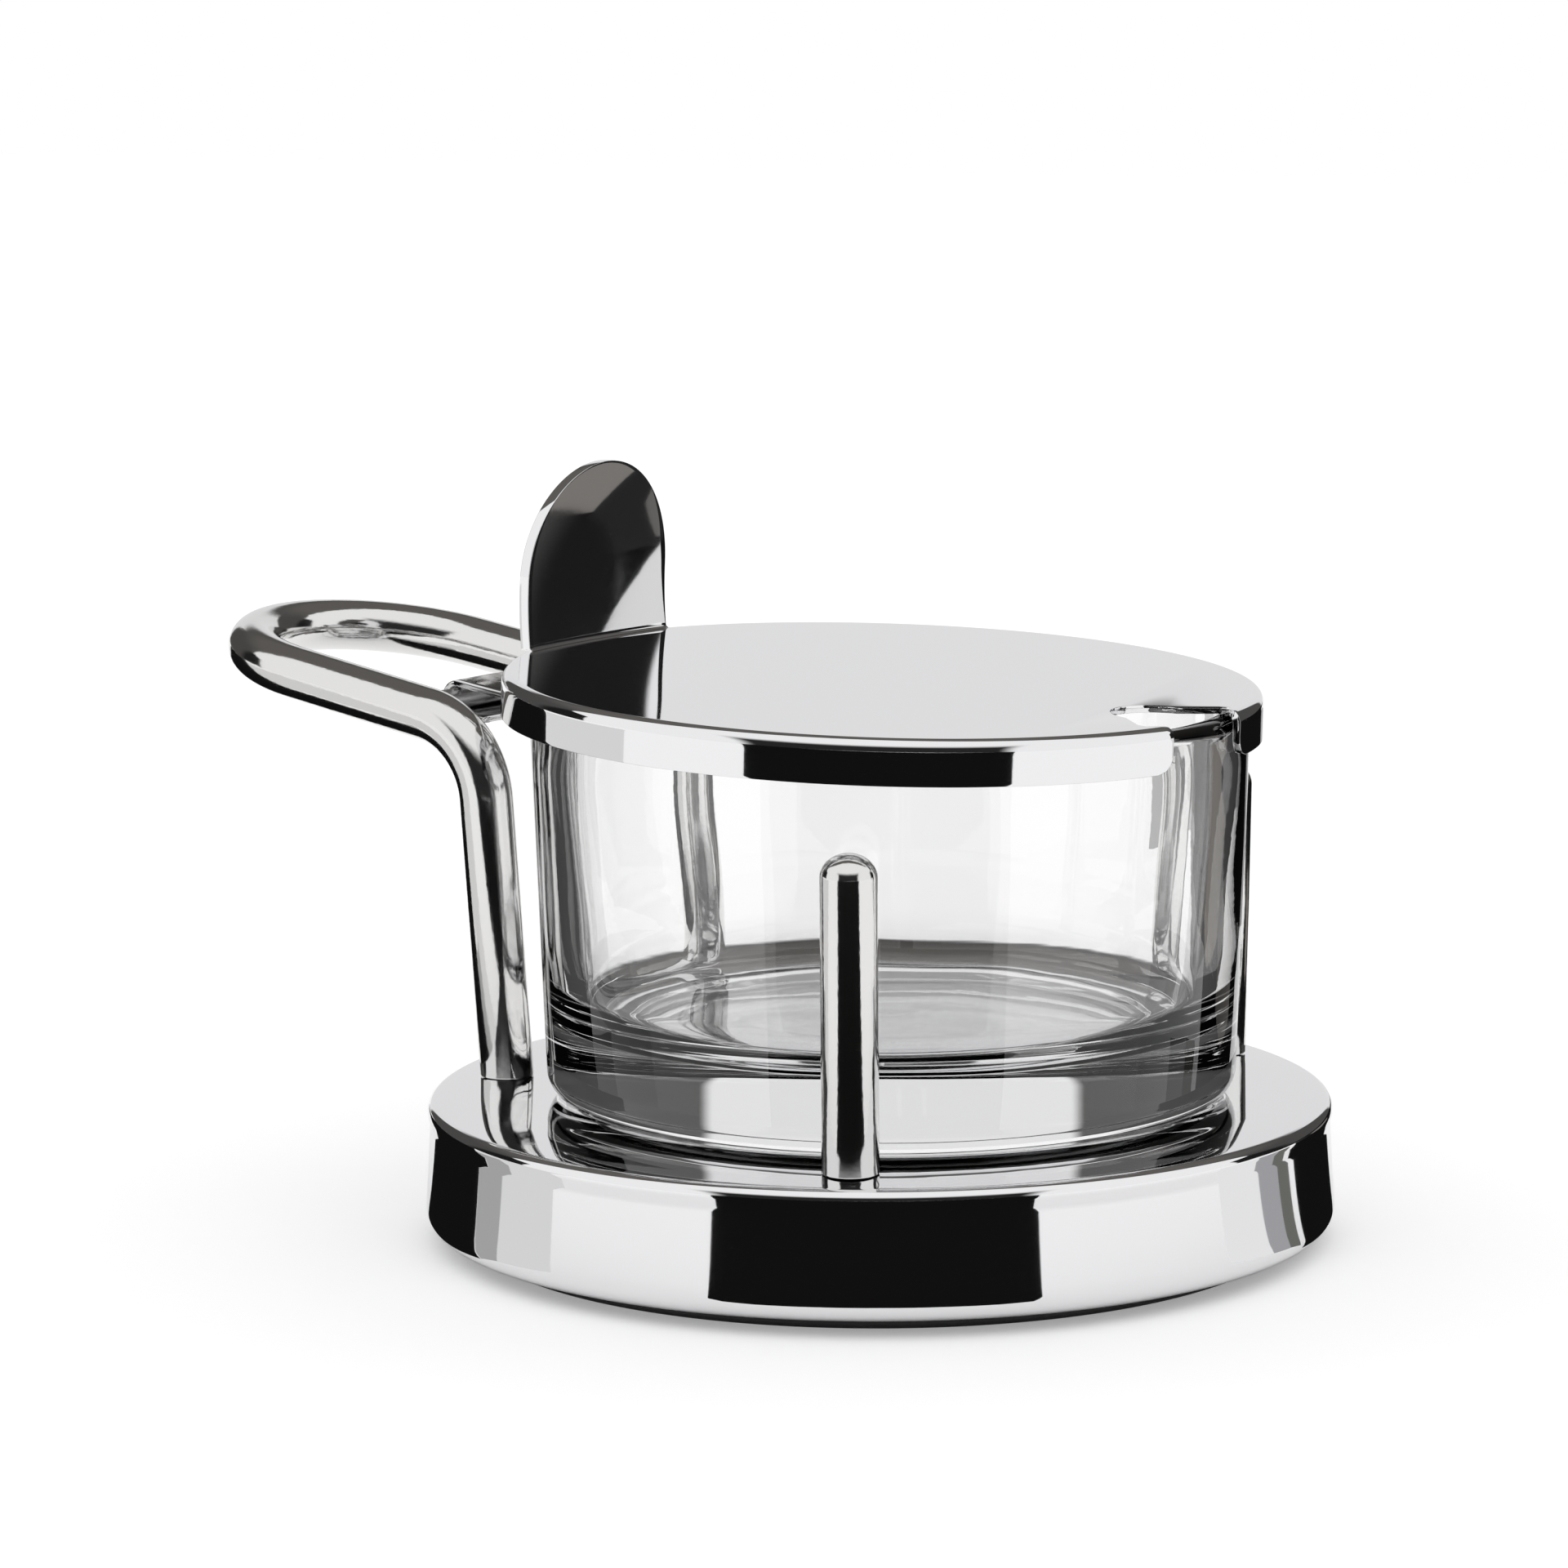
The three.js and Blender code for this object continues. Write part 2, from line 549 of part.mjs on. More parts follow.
// Side view of the hinge tongue: a flat seat under the rim, a leaf out to the roll,
// the roll round the rod, and a short leaf back.
function tongueSide(axis) {
  const rollInner = HINGE_ROD_RADIUS + HINGE_ROD_CLEARANCE;
  const rollOuter = rollInner + TONGUE_SHEET;
  const seatIn = TONGUE_SEAT_REACH - LID_RADIUS;
  const seatOut = -LID_RADIUS - SEAT_GAP;
  const seatZ = -LID_RIM_HEIGHT - SEAT_GAP;
  const reach = Math.hypot(seatOut - axis.x, seatZ - axis.z);
  const slope = Math.atan2(seatZ - axis.z, seatOut - axis.x) - Math.asin(rollOuter / reach);
  const start = Math.PI / 2 + slope;
  const end = 1.5 * Math.PI;
  const returnX = axis.x + TONGUE_RETURN;
  const outsideRod = rollInner / Math.cos(Math.PI / (2 * ROLL_FACETS));
  return [
    [seatIn, seatZ],
    [seatOut, seatZ],
    ...arc(axis.x, axis.z, rollOuter, start, end, ROLL_FACETS),
    [returnX, axis.z - rollOuter],
    [returnX, axis.z - outsideRod],
    ...arc(axis.x, axis.z, outsideRod, end, start, ROLL_FACETS),
    [seatOut + TONGUE_SHEET * Math.tan(slope / 2), seatZ - TONGUE_SHEET],
    [seatIn, seatZ - TONGUE_SHEET],
  ];
}

// Plan of the tongue: narrow at the roll, flaring out to the rim.
function tonguePlan(axis) {
  const farX = axis.x - 2 * (HINGE_ROD_RADIUS + TONGUE_SHEET);
  const flareX = axis.x + TONGUE_FLARE_START;
  const endX = TONGUE_SEAT_REACH - LID_RADIUS;
  const endY = TONGUE_HALF_WIDTH + (endX - flareX) * Math.tan(TONGUE_FLARE);
  return [
    [farX, -TONGUE_HALF_WIDTH],
    [flareX, -TONGUE_HALF_WIDTH],
    [endX, -endY],
    [endX, endY],
    [flareX, TONGUE_HALF_WIDTH],
    [farX, TONGUE_HALF_WIDTH],
  ];
}

function hingeTongue(lidFrame) {
  const axis = hingeInLid(lidFrame);
  const width = LID_RADIUS;
  const side = pulled(tongueSide(axis), width);
  side.rotateX(Math.PI / 2);
  side.translate(0, width / 2, 0);
  const depth = 2 * (LID_RIM_HEIGHT - axis.z);
  const plan = pulled(tonguePlan(axis), depth);
  plan.translate(0, 0, -depth);
  const insideRim = upright(LID_RADIUS - TONGUE_INSET, -depth, 0, LID_FACETS);
  return solidOf(side).intersect(solidOf(plan)).subtract(insideRim);
}

// The lid rests on the bowl's rim on both sides of the notch, tilted down towards it.
function lidPlace() {
  const rimMiddle = BOWL_RIM_RADIUS - BOWL_RIM_WALL / 2;
  const seatX = BOWL_X + Math.sqrt(rimMiddle ** 2 - NOTCH_HALF_WIDTH ** 2);
  const undersideZ = BOWL_RIM_Z + LID_SEAT_GAP;
  const drop = (seatX - LID_X) * Math.tan(LID_TILT);
  const lidZ = undersideZ + drop + LID_SHEET / Math.cos(LID_TILT);
  return new THREE.Matrix4().makeRotationY(LID_TILT).setPosition(LID_X, 0, lidZ);
}

// Assembly

const server = new THREE.Group();

server.add(piece('base_shell', baseShell(), mirrorSteel()));
server.add(piece('base_stiffener', baseStiffener(), plainSteel()));
server.add(piece('foot_pad', footPad(), darkPlastic()));
server.add(piece('handle_rod', handleRod(), satinSteel()));
server.add(piece('hinge_rod', hingeRod(), plainSteel()));
server.add(piece('bowl_pin_front', bowlPin(-1), mirrorSteel()));
server.add(piece('bowl_pin_rear', bowlPin(1), mirrorSteel()));
for (const post of postFeet()) {
  server.add(piece(`screw_${post.name}`, screw(post), plainSteel()));
  server.add(piece(`washer_${post.name}`, washer(post), plainSteel()));
}

const bowl = piece('glass_bowl', glassBowl(), clearGlass());
bowl.position.set(BOWL_X, 0, BASE_TOP);
server.add(bowl);

const lid = new THREE.Group();
const lidFrame = lidPlace();
lidFrame.decompose(lid.position, lid.quaternion, lid.scale);
lid.add(piece('lid_disc', lidDisc(), mirrorSteel()));
lid.add(piece('thumb_plate', thumbPlate(), mirrorSteel()));
lid.add(piece('hinge_tongue', hingeTongue(lidFrame), satinSteel()));
server.add(lid);

export default server;
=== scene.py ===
"""Looks of a grated cheese server: a glass bowl on a polished steel base, under a hinged steel lid.

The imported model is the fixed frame. Every visible piece is modelled again here, finer, in the same
place, and rides on the same body. Metres, +Z up, the origin on the base's axis at the foot.
"""

import json
import logging
from collections.abc import Callable, Iterable
from dataclasses import dataclass
from enum import Enum
from functools import cache
from math import asin, atan2, copysign, cos, hypot, pi, radians, sin, sqrt, tan

import bmesh
import bpy
from bmesh.types import BMEdge, BMesh, BMFace, BMVert
from bpy.types import Material, NodeSocket, Object, World
from mathutils import Matrix, Vector, noise


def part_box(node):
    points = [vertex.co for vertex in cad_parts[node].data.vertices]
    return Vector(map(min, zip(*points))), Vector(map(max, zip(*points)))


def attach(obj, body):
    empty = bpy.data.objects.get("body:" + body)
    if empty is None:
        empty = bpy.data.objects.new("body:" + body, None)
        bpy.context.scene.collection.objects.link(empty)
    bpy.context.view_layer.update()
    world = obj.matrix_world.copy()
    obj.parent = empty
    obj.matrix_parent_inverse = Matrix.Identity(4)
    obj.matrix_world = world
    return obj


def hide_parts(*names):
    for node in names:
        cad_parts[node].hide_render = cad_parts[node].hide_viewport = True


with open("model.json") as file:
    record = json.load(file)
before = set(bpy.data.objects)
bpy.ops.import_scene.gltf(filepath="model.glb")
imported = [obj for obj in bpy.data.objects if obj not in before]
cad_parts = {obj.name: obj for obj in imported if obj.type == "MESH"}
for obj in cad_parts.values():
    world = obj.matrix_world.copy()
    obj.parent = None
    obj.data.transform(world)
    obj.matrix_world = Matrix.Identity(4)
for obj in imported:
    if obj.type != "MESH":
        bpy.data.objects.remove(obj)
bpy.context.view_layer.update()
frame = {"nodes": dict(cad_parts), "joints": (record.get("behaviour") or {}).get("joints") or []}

LOG = logging.getLogger("cheese_server")

Colour = tuple[float, float, float]
Span = tuple[float, float]

MM = 0.001
FULL_TURN = 2 * pi
RIGHT_ANGLE = pi / 2
UNMOVED = Matrix.Identity(4)
MERGE_DISTANCE = 1e-7
SHARP_ANGLE = radians(32)
CUT_EDGE_ANGLE = radians(60)
STRAIGHTENED = "straightened"
WHITE = (1.0, 1.0, 1.0)

# Places taken from the frame
BASE_LOW, BASE_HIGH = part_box("base_shell")
BASE_TOP = BASE_HIGH.z
BOWL_LOW, BOWL_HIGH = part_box("glass_bowl")
BOWL_CENTRE_X = (BOWL_LOW.x + BOWL_HIGH.x) / 2
BOWL_RIM = (BOWL_HIGH.x - BOWL_LOW.x) / 2
BOWL_HEIGHT = BOWL_HIGH.z - BOWL_LOW.z
LID_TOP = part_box("lid_disc")[1].z
FOOT_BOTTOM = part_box("foot_pad")[0].z
HINGE_AXIS = Vector(next(j for j in frame["joints"] if j["name"] == "lid_hinge")["pos_m"])


class Slot(Enum):
    """The record's material slots."""

    POLISHED_STEEL = "polished_steel"
    SATIN_STEEL = "satin_steel"
    PLAIN_STEEL = "plain_steel"
    PAD_PLASTIC = "pad_plastic"
    BOWL_GLASS = "bowl_glass"


class Body(Enum):
    """The moving bodies of the frame."""

    STAND = "stand"
    LID = "lid"
    BOWL = "bowl"


# Shader nodes


def math_node(operation: str, swapped: bool = False) -> Callable:
    """Makes a method of Value that adds a Math node.

    Args:
        operation: The node's operation.
        swapped: Whether the value is the second operand.

    Returns:
        The method.
    """
    def method(value: "Value", other: "Value | float" = 0.0) -> "Value":
        """Adds the node."""
        first, second = (other, value) if swapped else (value, other)
        return value.graph.node("Math", {"operation": operation}, {0: first, 1: second})
    return method


class Value:
    """A shader number; Python arithmetic on it adds Math nodes."""

    def __init__(self, graph: "Graph", socket: NodeSocket) -> None:
        """Wraps an output socket of a graph."""
        self.graph = graph
        self.socket = socket

    __add__ = __radd__ = math_node("ADD")
    __mul__ = __rmul__ = math_node("MULTIPLY")
    __sub__ = math_node("SUBTRACT")
    __rsub__ = math_node("SUBTRACT", swapped=True)
    __abs__ = math_node("ABSOLUTE")
    larger = math_node("MAXIMUM")

    def step(self, ends: Span) -> "Value":
        """Returns a soft step, 0 up to the first end and 1 from the second."""
        inputs = {"Value": self, "From Min": ends[0], "From Max": ends[1]}
        return self.graph.node("MapRange", {"interpolation_type": "SMOOTHSTEP"}, inputs, "Result")


class Graph:
    """A material's or the world's node tree, emptied and ready to fill."""

    def __init__(self, owner: Material | World) -> None:
        """Gives the owner an empty node tree."""
        owner.use_nodes = True
        self.tree = owner.node_tree
        self.tree.nodes.clear()

    def node(self, kind: str, settings: dict, inputs: dict, out: int | str = 0) -> Value:
        """Adds a node.

        Args:
            kind: The node's type name without ShaderNode.
            settings: Attributes of the node, set before its sockets.
            inputs: Values or links by socket name or index.
            out: The output socket to return.

        Returns:
            The chosen output, or the node's first one.
        """
        made = self.tree.nodes.new(f"ShaderNode{kind}")
        for name, setting in settings.items():
            setattr(made, name, setting)
        for key, given in inputs.items():
            if isinstance(given, Value):
                self.tree.links.new(given.socket, made.inputs[key])
            else:
                made.inputs[key].default_value = given
        return Value(self, made.outputs[out] if made.outputs else None)

    def noise(self, place: Value, scale: float, detail: float) -> Value:
        """Returns noise from 0 to 1 at a place, with its scale in features per metre."""
        return self.node("TexNoise", {}, {"Vector": place, "Scale": scale, "Detail": detail}, "Fac")

    def bump(self, height: Value, depth: float, normal: Value | None = None) -> Value:
        """Adds a bump.

        Args:
            height: The height from 0 to 1.
            depth: The full height in metres.
            normal: A normal to add to.

        Returns:
            The bumped normal.
        """
        inputs = {"Strength": 1.0, "Distance": depth, "Height": height}
        if normal is not None:
            inputs["Normal"] = normal
        return self.node("Bump", {}, inputs, "Normal")

    def mix(self, first: Value | Colour, second: Value | Colour, share: Value, blend: str = "MIX") -> Value:
        """Mixes two colours.

        Args:
            first: The colour at share 0.
            second: The colour at share 1.
            share: How much of the second.
            blend: How the second is laid over the first.

        Returns:
            The mixed colour.
        """
        low, high = (part if isinstance(part, Value) else (*part, 1.0) for part in (first, second))
        settings = {"data_type": "RGBA", "blend_type": blend}
        return self.node("Mix", settings, {0: share, 6: low, 7: high}, 2)

    def object_coordinates(self) -> Value:
        """Returns Object coordinates."""
        return self.node("TexCoord", {}, {}, "Object")

    def ray(self, kind: str) -> Value:
        """Returns 1 for rays of one kind, such as Camera, and 0 for others."""
        return self.node("LightPath", {}, {}, f"Is {kind} Ray")

    def surface(self, shader: Value, owner: str = "Material") -> None:
        """Makes a shader the surface of the material or the world."""
        self.node(f"Output{owner}", {}, {"Surface": shader})

    def principled(self, tint: Colour, inputs: dict) -> None:
        """Makes a Principled shader with a tint and other inputs the surface."""
        self.surface(self.node("BsdfPrincipled", {}, {"Base Color": (*tint, 1.0), **inputs}))


# Finishes


@dataclass(frozen=True)
class Pattern:
    """A noise pattern: its features per metre, and its depth in metres or its spread of roughness."""

    scale: float
    depth: float


@dataclass(frozen=True)
class SteelFinish:
    """Stainless steel, from mirror polished to plain.

    The grain is drawn on Object coordinates, or along a bent rod on its straightened coordinates.
    """

    name: str
    tint: Colour
    roughness: float
    smudge: Pattern
    grain: Pattern
    wave: Pattern
    grain_stretch: float = 1.0
    along_rod: bool = False

    @cache
    def material(self) -> Material:
        """Returns the finish as a material, made once."""
        material = bpy.data.materials.new(self.name)
        graph = Graph(material)
        place = graph.object_coordinates()
        if self.along_rod:
            place = graph.node("Attribute", {"attribute_name": STRAIGHTENED}, {}, "Vector")
        drawn = graph.node("Mapping", {}, {"Vector": place, "Scale": (1, 1, 1 / self.grain_stretch)})
        smudge = graph.noise(drawn, self.smudge.scale, detail=3.0)
        grain = graph.noise(drawn, self.grain.scale, detail=3.0)
        wave = graph.noise(place, self.wave.scale, detail=0.0)
        graph.principled(self.tint, {
            "Metallic": 1.0,
            "Roughness": self.roughness + self.smudge.depth * (smudge - 0.5),
            "Normal": graph.bump(grain, self.grain.depth, graph.bump(wave, self.wave.depth)),
        })
        return material


@dataclass(frozen=True)
class GlassFinish:
    """Clear pressed glass with a faint waviness and faint rings about the Z axis."""

    name: str
    tint: Colour
    index: float
    roughness: float
    wave: Pattern
    rings: Pattern

    @cache
    def material(self) -> Material:
        """Returns the finish as a material, made once."""
        material = bpy.data.materials.new(self.name)
        graph = Graph(material)
        place = graph.object_coordinates()
        wave = graph.noise(place, self.wave.scale, detail=1.0)
        level = graph.node("VectorMath", {"operation": "MULTIPLY"}, {0: place, 1: (1, 1, 0)})
        radius = graph.node("VectorMath", {"operation": "LENGTH"}, {0: level}, "Value")
        height = graph.node("SeparateXYZ", {}, {"Vector": place}, "Z")
        ring_place = graph.node("CombineXYZ", {}, {"X": radius, "Z": height})
        rings = graph.noise(ring_place, self.rings.scale, detail=2.0)
        graph.principled(self.tint, {
            "Roughness": self.roughness,
            "IOR": self.index,
            "Transmission Weight": 1.0,
            "Normal": graph.bump(rings, self.rings.depth, graph.bump(wave, self.wave.depth)),
        })
        return material


@dataclass(frozen=True)
class PlasticFinish:
    """Dark moulded plastic with a fine grain."""

    name: str
    tint: Colour
    roughness: float
    roughness_spread: float
    grain: Pattern

    @cache
    def material(self) -> Material:
        """Returns the finish as a material, made once."""
        material = bpy.data.materials.new(self.name)
        graph = Graph(material)
        grain = graph.noise(graph.object_coordinates(), self.grain.scale, detail=2.0)
        graph.principled(self.tint, {
            "Roughness": self.roughness + self.roughness_spread * (grain - 0.5),
            "Normal": graph.bump(grain, self.grain.depth),
        })
        return material


Finish = SteelFinish | GlassFinish | PlasticFinish
POLISHED = SteelFinish(
    "polished_steel", (0.86, 0.86, 0.87), roughness=0.04,
    smudge=Pattern(60.0, 0.02), grain=Pattern(900.0, 6e-7), wave=Pattern(28.0, 8e-6),
)
SATIN = SteelFinish(
    "satin_steel", (0.79, 0.785, 0.775), roughness=0.10,
    smudge=Pattern(420.0, 0.06), grain=Pattern(2600.0, 1.1e-5), wave=Pattern(90.0, 1.2e-5),
    grain_stretch=3.0, along_rod=True,
)
LEAF = SteelFinish(
    "leaf_steel", (0.80, 0.80, 0.795), roughness=0.07,
    smudge=Pattern(300.0, 0.03), grain=Pattern(2500.0, 1.2e-6), wave=Pattern(70.0, 8e-6),
)
PLAIN = SteelFinish(
    "plain_steel", (0.60, 0.60, 0.61), roughness=0.32,
    smudge=Pattern(300.0, 0.10), grain=Pattern(2000.0, 8e-6), wave=Pattern(60.0, 2e-5),
)
PAD = PlasticFinish(
    "pad_plastic", (0.028, 0.028, 0.028), roughness=0.42, roughness_spread=0.1, grain=Pattern(1800.0, 1.5e-5),
)
GLASS = GlassFinish(
    "bowl_glass", WHITE, index=1.51, roughness=0.0, wave=Pattern(55.0, 5e-5), rings=Pattern(420.0, 6e-6),
)


# Meshes


@dataclass(frozen=True)
class Corner:
    """One corner of a flat outline: its place and the radius that rounds it."""

    across: float
    up: float
    radius: float = 0.0


def tangent_length(before: Corner, corner: Corner, after: Corner) -> float:
    """Works out how far from a corner its rounding starts.

    Args:
        before: The corner before it.
        corner: The corner to round.
        after: The corner after it.

    Returns:
        The distance along both edges.
    """
    here = Vector((corner.across, corner.up))
    back = Vector((before.across, before.up)) - here
    on = Vector((after.across, after.up)) - here
    return corner.radius / tan(back.angle(on) / 2)


def draw_outline(bm: BMesh, corners: list[Corner], segments: int) -> None:
    """Draws a closed outline as one face in the X-Z plane, with its corners rounded.

    Args:
        bm: The mesh to draw in.
        corners: The outline's corners in order.
        segments: Segments of each rounding.
    """
    verts = [bm.verts.new((corner.across, 0.0, corner.up)) for corner in corners]
    bm.faces.new(verts)
    for index, corner in enumerate(corners):
        if corner.radius > 0:
            offset = tangent_length(corners[index - 1], corner, corners[(index + 1) % len(corners)])
            bmesh.ops.bevel(
                bm, geom=[verts[index]], offset=offset, offset_type="OFFSET", segments=segments,
                profile=0.5, affect="VERTICES", material=-1, clamp_overlap=False,
            )


def face_outwards(bm: BMesh) -> None:
    """Turns a mesh's faces outwards."""
    bmesh.ops.recalc_face_normals(bm, faces=bm.faces[:])


def turned_mesh(corners: list[Corner], steps: int, segments: int) -> BMesh:
    """Turns a half outline about Z into a closed solid.

    Args:
        corners: The half outline.
        steps: Steps of the full turn.
        segments: Segments of each rounding.

    Returns:
        The mesh.
    """
    bm = bmesh.new()
    draw_outline(bm, corners, segments)
    bmesh.ops.delete(bm, geom=bm.faces[:], context="FACES_ONLY")
    on_axis = [edge for edge in bm.edges if all(abs(vert.co.x) < MERGE_DISTANCE for vert in edge.verts)]
    bmesh.ops.delete(bm, geom=on_axis, context="EDGES")
    bmesh.ops.spin(
        bm, geom=bm.verts[:] + bm.edges[:], cent=(0, 0, 0), axis=(0, 0, 1), angle=FULL_TURN, steps=steps,
        use_merge=True,
    )
    bmesh.ops.remove_doubles(bm, verts=bm.verts[:], dist=MERGE_DISTANCE)
    face_outwards(bm)
    return bm


def only(kind: type, items: Iterable) -> list:
    """Returns the items of one kind, such as a mesh's vertices."""
    return [item for item in items if isinstance(item, kind)]


def sharper_edges(bm: BMesh, angle: float) -> list[BMEdge]:
    """Returns a mesh's edges that are sharper than an angle."""
    return [edge for edge in bm.edges if edge.calc_face_angle(0.0) > angle]


def round_edges(bm: BMesh, edges: list[BMEdge], size: float, segments: int) -> None:
    """Rounds edges of a closed mesh, whose faces point outwards afterwards.

    Args:
        bm: The mesh.
        edges: The edges to round.
        size: How far each rounding reaches.
        segments: Its segments.
    """
    bmesh.ops.bevel(
        bm, geom=edges, offset=size, offset_type="OFFSET", segments=segments, profile=0.5,
        affect="EDGES", material=-1, clamp_overlap=True,
    )
    face_outwards(bm)


def cut_level(bm: BMesh, height: float, chamfer: float) -> None:
    """Cuts a mesh off below a height and closes it there with a small rounding.

    Args:
        bm: The mesh.
        height: The level of the cut.
        chamfer: The rounding at its edge.
    """
    everything = bm.verts[:] + bm.edges[:] + bm.faces[:]
    bmesh.ops.bisect_plane(bm, geom=everything, plane_co=(0, 0, height), plane_no=(0, 0, 1), clear_inner=True)
    rims = [edge for edge in bm.edges if edge.is_boundary]
    bmesh.ops.holes_fill(bm, edges=rims, sides=0)
    round_edges(bm, [edge for edge in rims if edge.is_valid], chamfer, segments=2)


def stood_along(start: Vector, direction: Vector) -> Matrix:
    """Returns the place that moves the origin to a start and turns +Z to a direction."""
    return Matrix.Translation(start) @ Vector((0, 0, 1)).rotation_difference(direction).to_matrix().to_4x4()


def finished_object(name: str, bm: BMesh, place: Matrix = UNMOVED, sharp: float = SHARP_ANGLE) -> Object:
    """Makes an object of a mesh, smooth but for its sharp edges.

    Args:
        name: The piece's name.
        bm: The mesh, which is freed.
        place: Where the mesh goes.
        sharp: The angle from which an edge stays sharp.

    Returns:
        The object, at the origin.
    """
    mesh = bpy.data.meshes.new(name)
    bm.transform(place)
    bm.to_mesh(mesh)
    bm.free()
    mesh.shade_smooth()
    mesh.set_sharp_from_angle(angle=sharp)
    made = bpy.data.objects.new(name, mesh)
    bpy.context.scene.collection.objects.link(made)
    return made


def dress(piece: Object, finish: Finish, body: Body, slot: Slot, *nodes: str) -> None:
    """Gives a piece its finish and body, and hides the CAD nodes that it stands for.

    Args:
        piece: The finished piece.
        finish: Its finish.
        body: The body that it rides on.
        slot: The record's slot; not used.
        nodes: The CAD nodes that it replaces.
    """
    piece.data.materials.clear()
    piece.data.materials.append(finish.material())
    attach(piece, body.value)
    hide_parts(*nodes)
    LOG.info("%s: %d vertices on %s", piece.name, len(piece.data.vertices), body.value)


class RoundRod:
    """A round rod drawn along straights and bends, one ring at a time."""

    def __init__(self, radius: float, start: Vector, direction: Vector, sides: int) -> None:
        """Starts the rod with a ring.

        Args:
            radius: The rod's radius.
            start: The first ring's centre.
            direction: Where the rod goes first.
            sides: Vertices of a ring.
        """
        self.bm = bmesh.new()
        self.layer = self.bm.verts.layers.float_vector.new(STRAIGHTENED)
        bmesh.ops.create_circle(
            self.bm, cap_ends=False, radius=radius, segments=sides, matrix=stood_along(start, direction),
        )
        self.ring = self.bm.edges[:]
        for index, vert in enumerate(self.bm.verts):
            angle = FULL_TURN * index / sides
            vert[self.layer] = Vector((radius * cos(angle), radius * sin(angle), 0))

    def straight(self, way: Vector) -> None:
        """Draws the rod on along a straight.

        Args:
            way: The straight, from its start to its end.
        """
        grown = bmesh.ops.extrude_edge_only(self.bm, edges=self.ring)["geom"]
        verts = only(BMVert, grown)
        self.ring = [edge for edge in only(BMEdge, grown) if all(vert in verts for vert in edge.verts)]
        bmesh.ops.translate(self.bm, verts=verts, vec=way)
        for vert in verts:
            vert[self.layer] += Vector((0, 0, way.length))

    def bend(self, centre: Vector, axis: Vector, angle: float, steps: int) -> None:
        """Draws the rod on round a bend.

        Args:
            centre: The bend's centre.
            axis: The axis that it turns about.
            angle: How far it turns.
            steps: Rings in the bend.
        """
        verts = list(dict.fromkeys(vert for edge in self.ring for vert in edge.verts))
        middle = sum((vert.co for vert in verts), Vector()) / len(verts)
        length = (middle - centre).length * abs(angle)
        for _ in range(steps):
            grown = bmesh.ops.spin(
                self.bm, geom=verts + self.ring, cent=centre, axis=axis, angle=angle / steps, steps=1,
                use_merge=False,
            )["geom_last"]
            self.ring = only(BMEdge, grown)
            verts = only(BMVert, grown)
            for vert in verts:
                vert[self.layer] += Vector((0, 0, length / steps))


# Base


@dataclass
class Base:
    """The drawn steel drum and the dark pad that closes it."""

    radius: float = 60 * MM
    sheet: float = 1.2 * MM
    edge_radius: float = 1.5 * MM
    shoulder_slope: float = radians(11)
    crown_slope: float = radians(6.5)
    crown_reach: float = 5 * MM
    crown_radius: float = 66 * MM
    groove_below_top: float = 3.6 * MM
    groove_radius: float = 2.2 * MM
    belly_below_groove: float = 5.5 * MM
    belly_radius: float = 90 * MM
    flare_slopes: Span = (radians(3.3), radians(1.9))
    hip_above_lip: float = 0.6 * MM
    hip_radius: float = 20 * MM
    lip_radius: float = 2.5 * MM
    lip_outside: float = 2.25 * MM
    foot_radius: float = 54.33 * MM
    foot_round: float = 0.7 * MM
    pad_flange: float = 2.2 * MM
    pad_side_gap: float = 0.3 * MM
    steps: int = 288
    segments: int = 12

    def drum_outline(self) -> list[Corner]:
        """Returns the half outline of the drum."""
        top, low, wide = BASE_TOP, BASE_LOW.z, BASE_HIGH.x
        edge, sheet, lip = self.edge_radius, self.sheet, self.lip_radius
        down, out = self.shoulder_slope, self.crown_slope
        corner = self.radius - edge + edge * (cos(down) + sin(out)) / (1 + sin(out - down))
        corner_z = top - self.crown_reach * tan(out)
        groove_z = top - self.groove_below_top
        groove = corner - (corner_z - groove_z) * tan(down)
        upper, lower = (tan(angle) for angle in self.flare_slopes)
        belly_z = groove_z - self.belly_below_groove
        belly = groove + (groove_z - belly_z) * upper
        hip_z = belly_z - (wide - belly) / lower
        inside = groove - sheet
        return [
            Corner(0, top - sheet),
            Corner(inside, top - sheet, edge / 2),
            Corner(inside, groove_z - edge),
            Corner(wide - sheet, low + lip, sheet),
            Corner(wide - sheet, low + sheet, lip / 2),
            Corner(wide - lip, low + sheet),
            Corner(wide - lip, low, sheet / 3),
            Corner(wide, low, self.lip_outside),
            Corner(wide, max(hip_z, low + lip + self.hip_above_lip), self.hip_radius),
            Corner(belly, belly_z, self.belly_radius),
            Corner(groove, groove_z, self.groove_radius),
            Corner(corner, corner_z, edge),
            Corner(corner - self.crown_reach, top, self.crown_radius),
            Corner(0, top),
        ]

    def pad_outline(self) -> list[Corner]:
        """Returns the half outline of the closing pad."""
        wide = BASE_HIGH.x - self.lip_radius - self.pad_side_gap
        shelf = BASE_LOW.z
        return [
            Corner(0, FOOT_BOTTOM),
            Corner(self.foot_radius, FOOT_BOTTOM, self.foot_round),
            Corner(self.foot_radius, shelf, self.foot_round / 2),
            Corner(wide, shelf, self.foot_round / 3),
            Corner(wide, shelf + self.pad_flange),
            Corner(0, shelf + self.pad_flange),
        ]

    def build(self) -> None:
        """Builds both pieces."""
        drum = finished_object("steel_drum", turned_mesh(self.drum_outline(), self.steps, self.segments))
        dress(drum, POLISHED, Body.STAND, Slot.POLISHED_STEEL, "base_shell")
        pad = finished_object("closing_pad", turned_mesh(self.pad_outline(), self.steps, self.segments))
        dress(pad, PAD, Body.STAND, Slot.PAD_PLASTIC, "foot_pad")


# Handle and pins


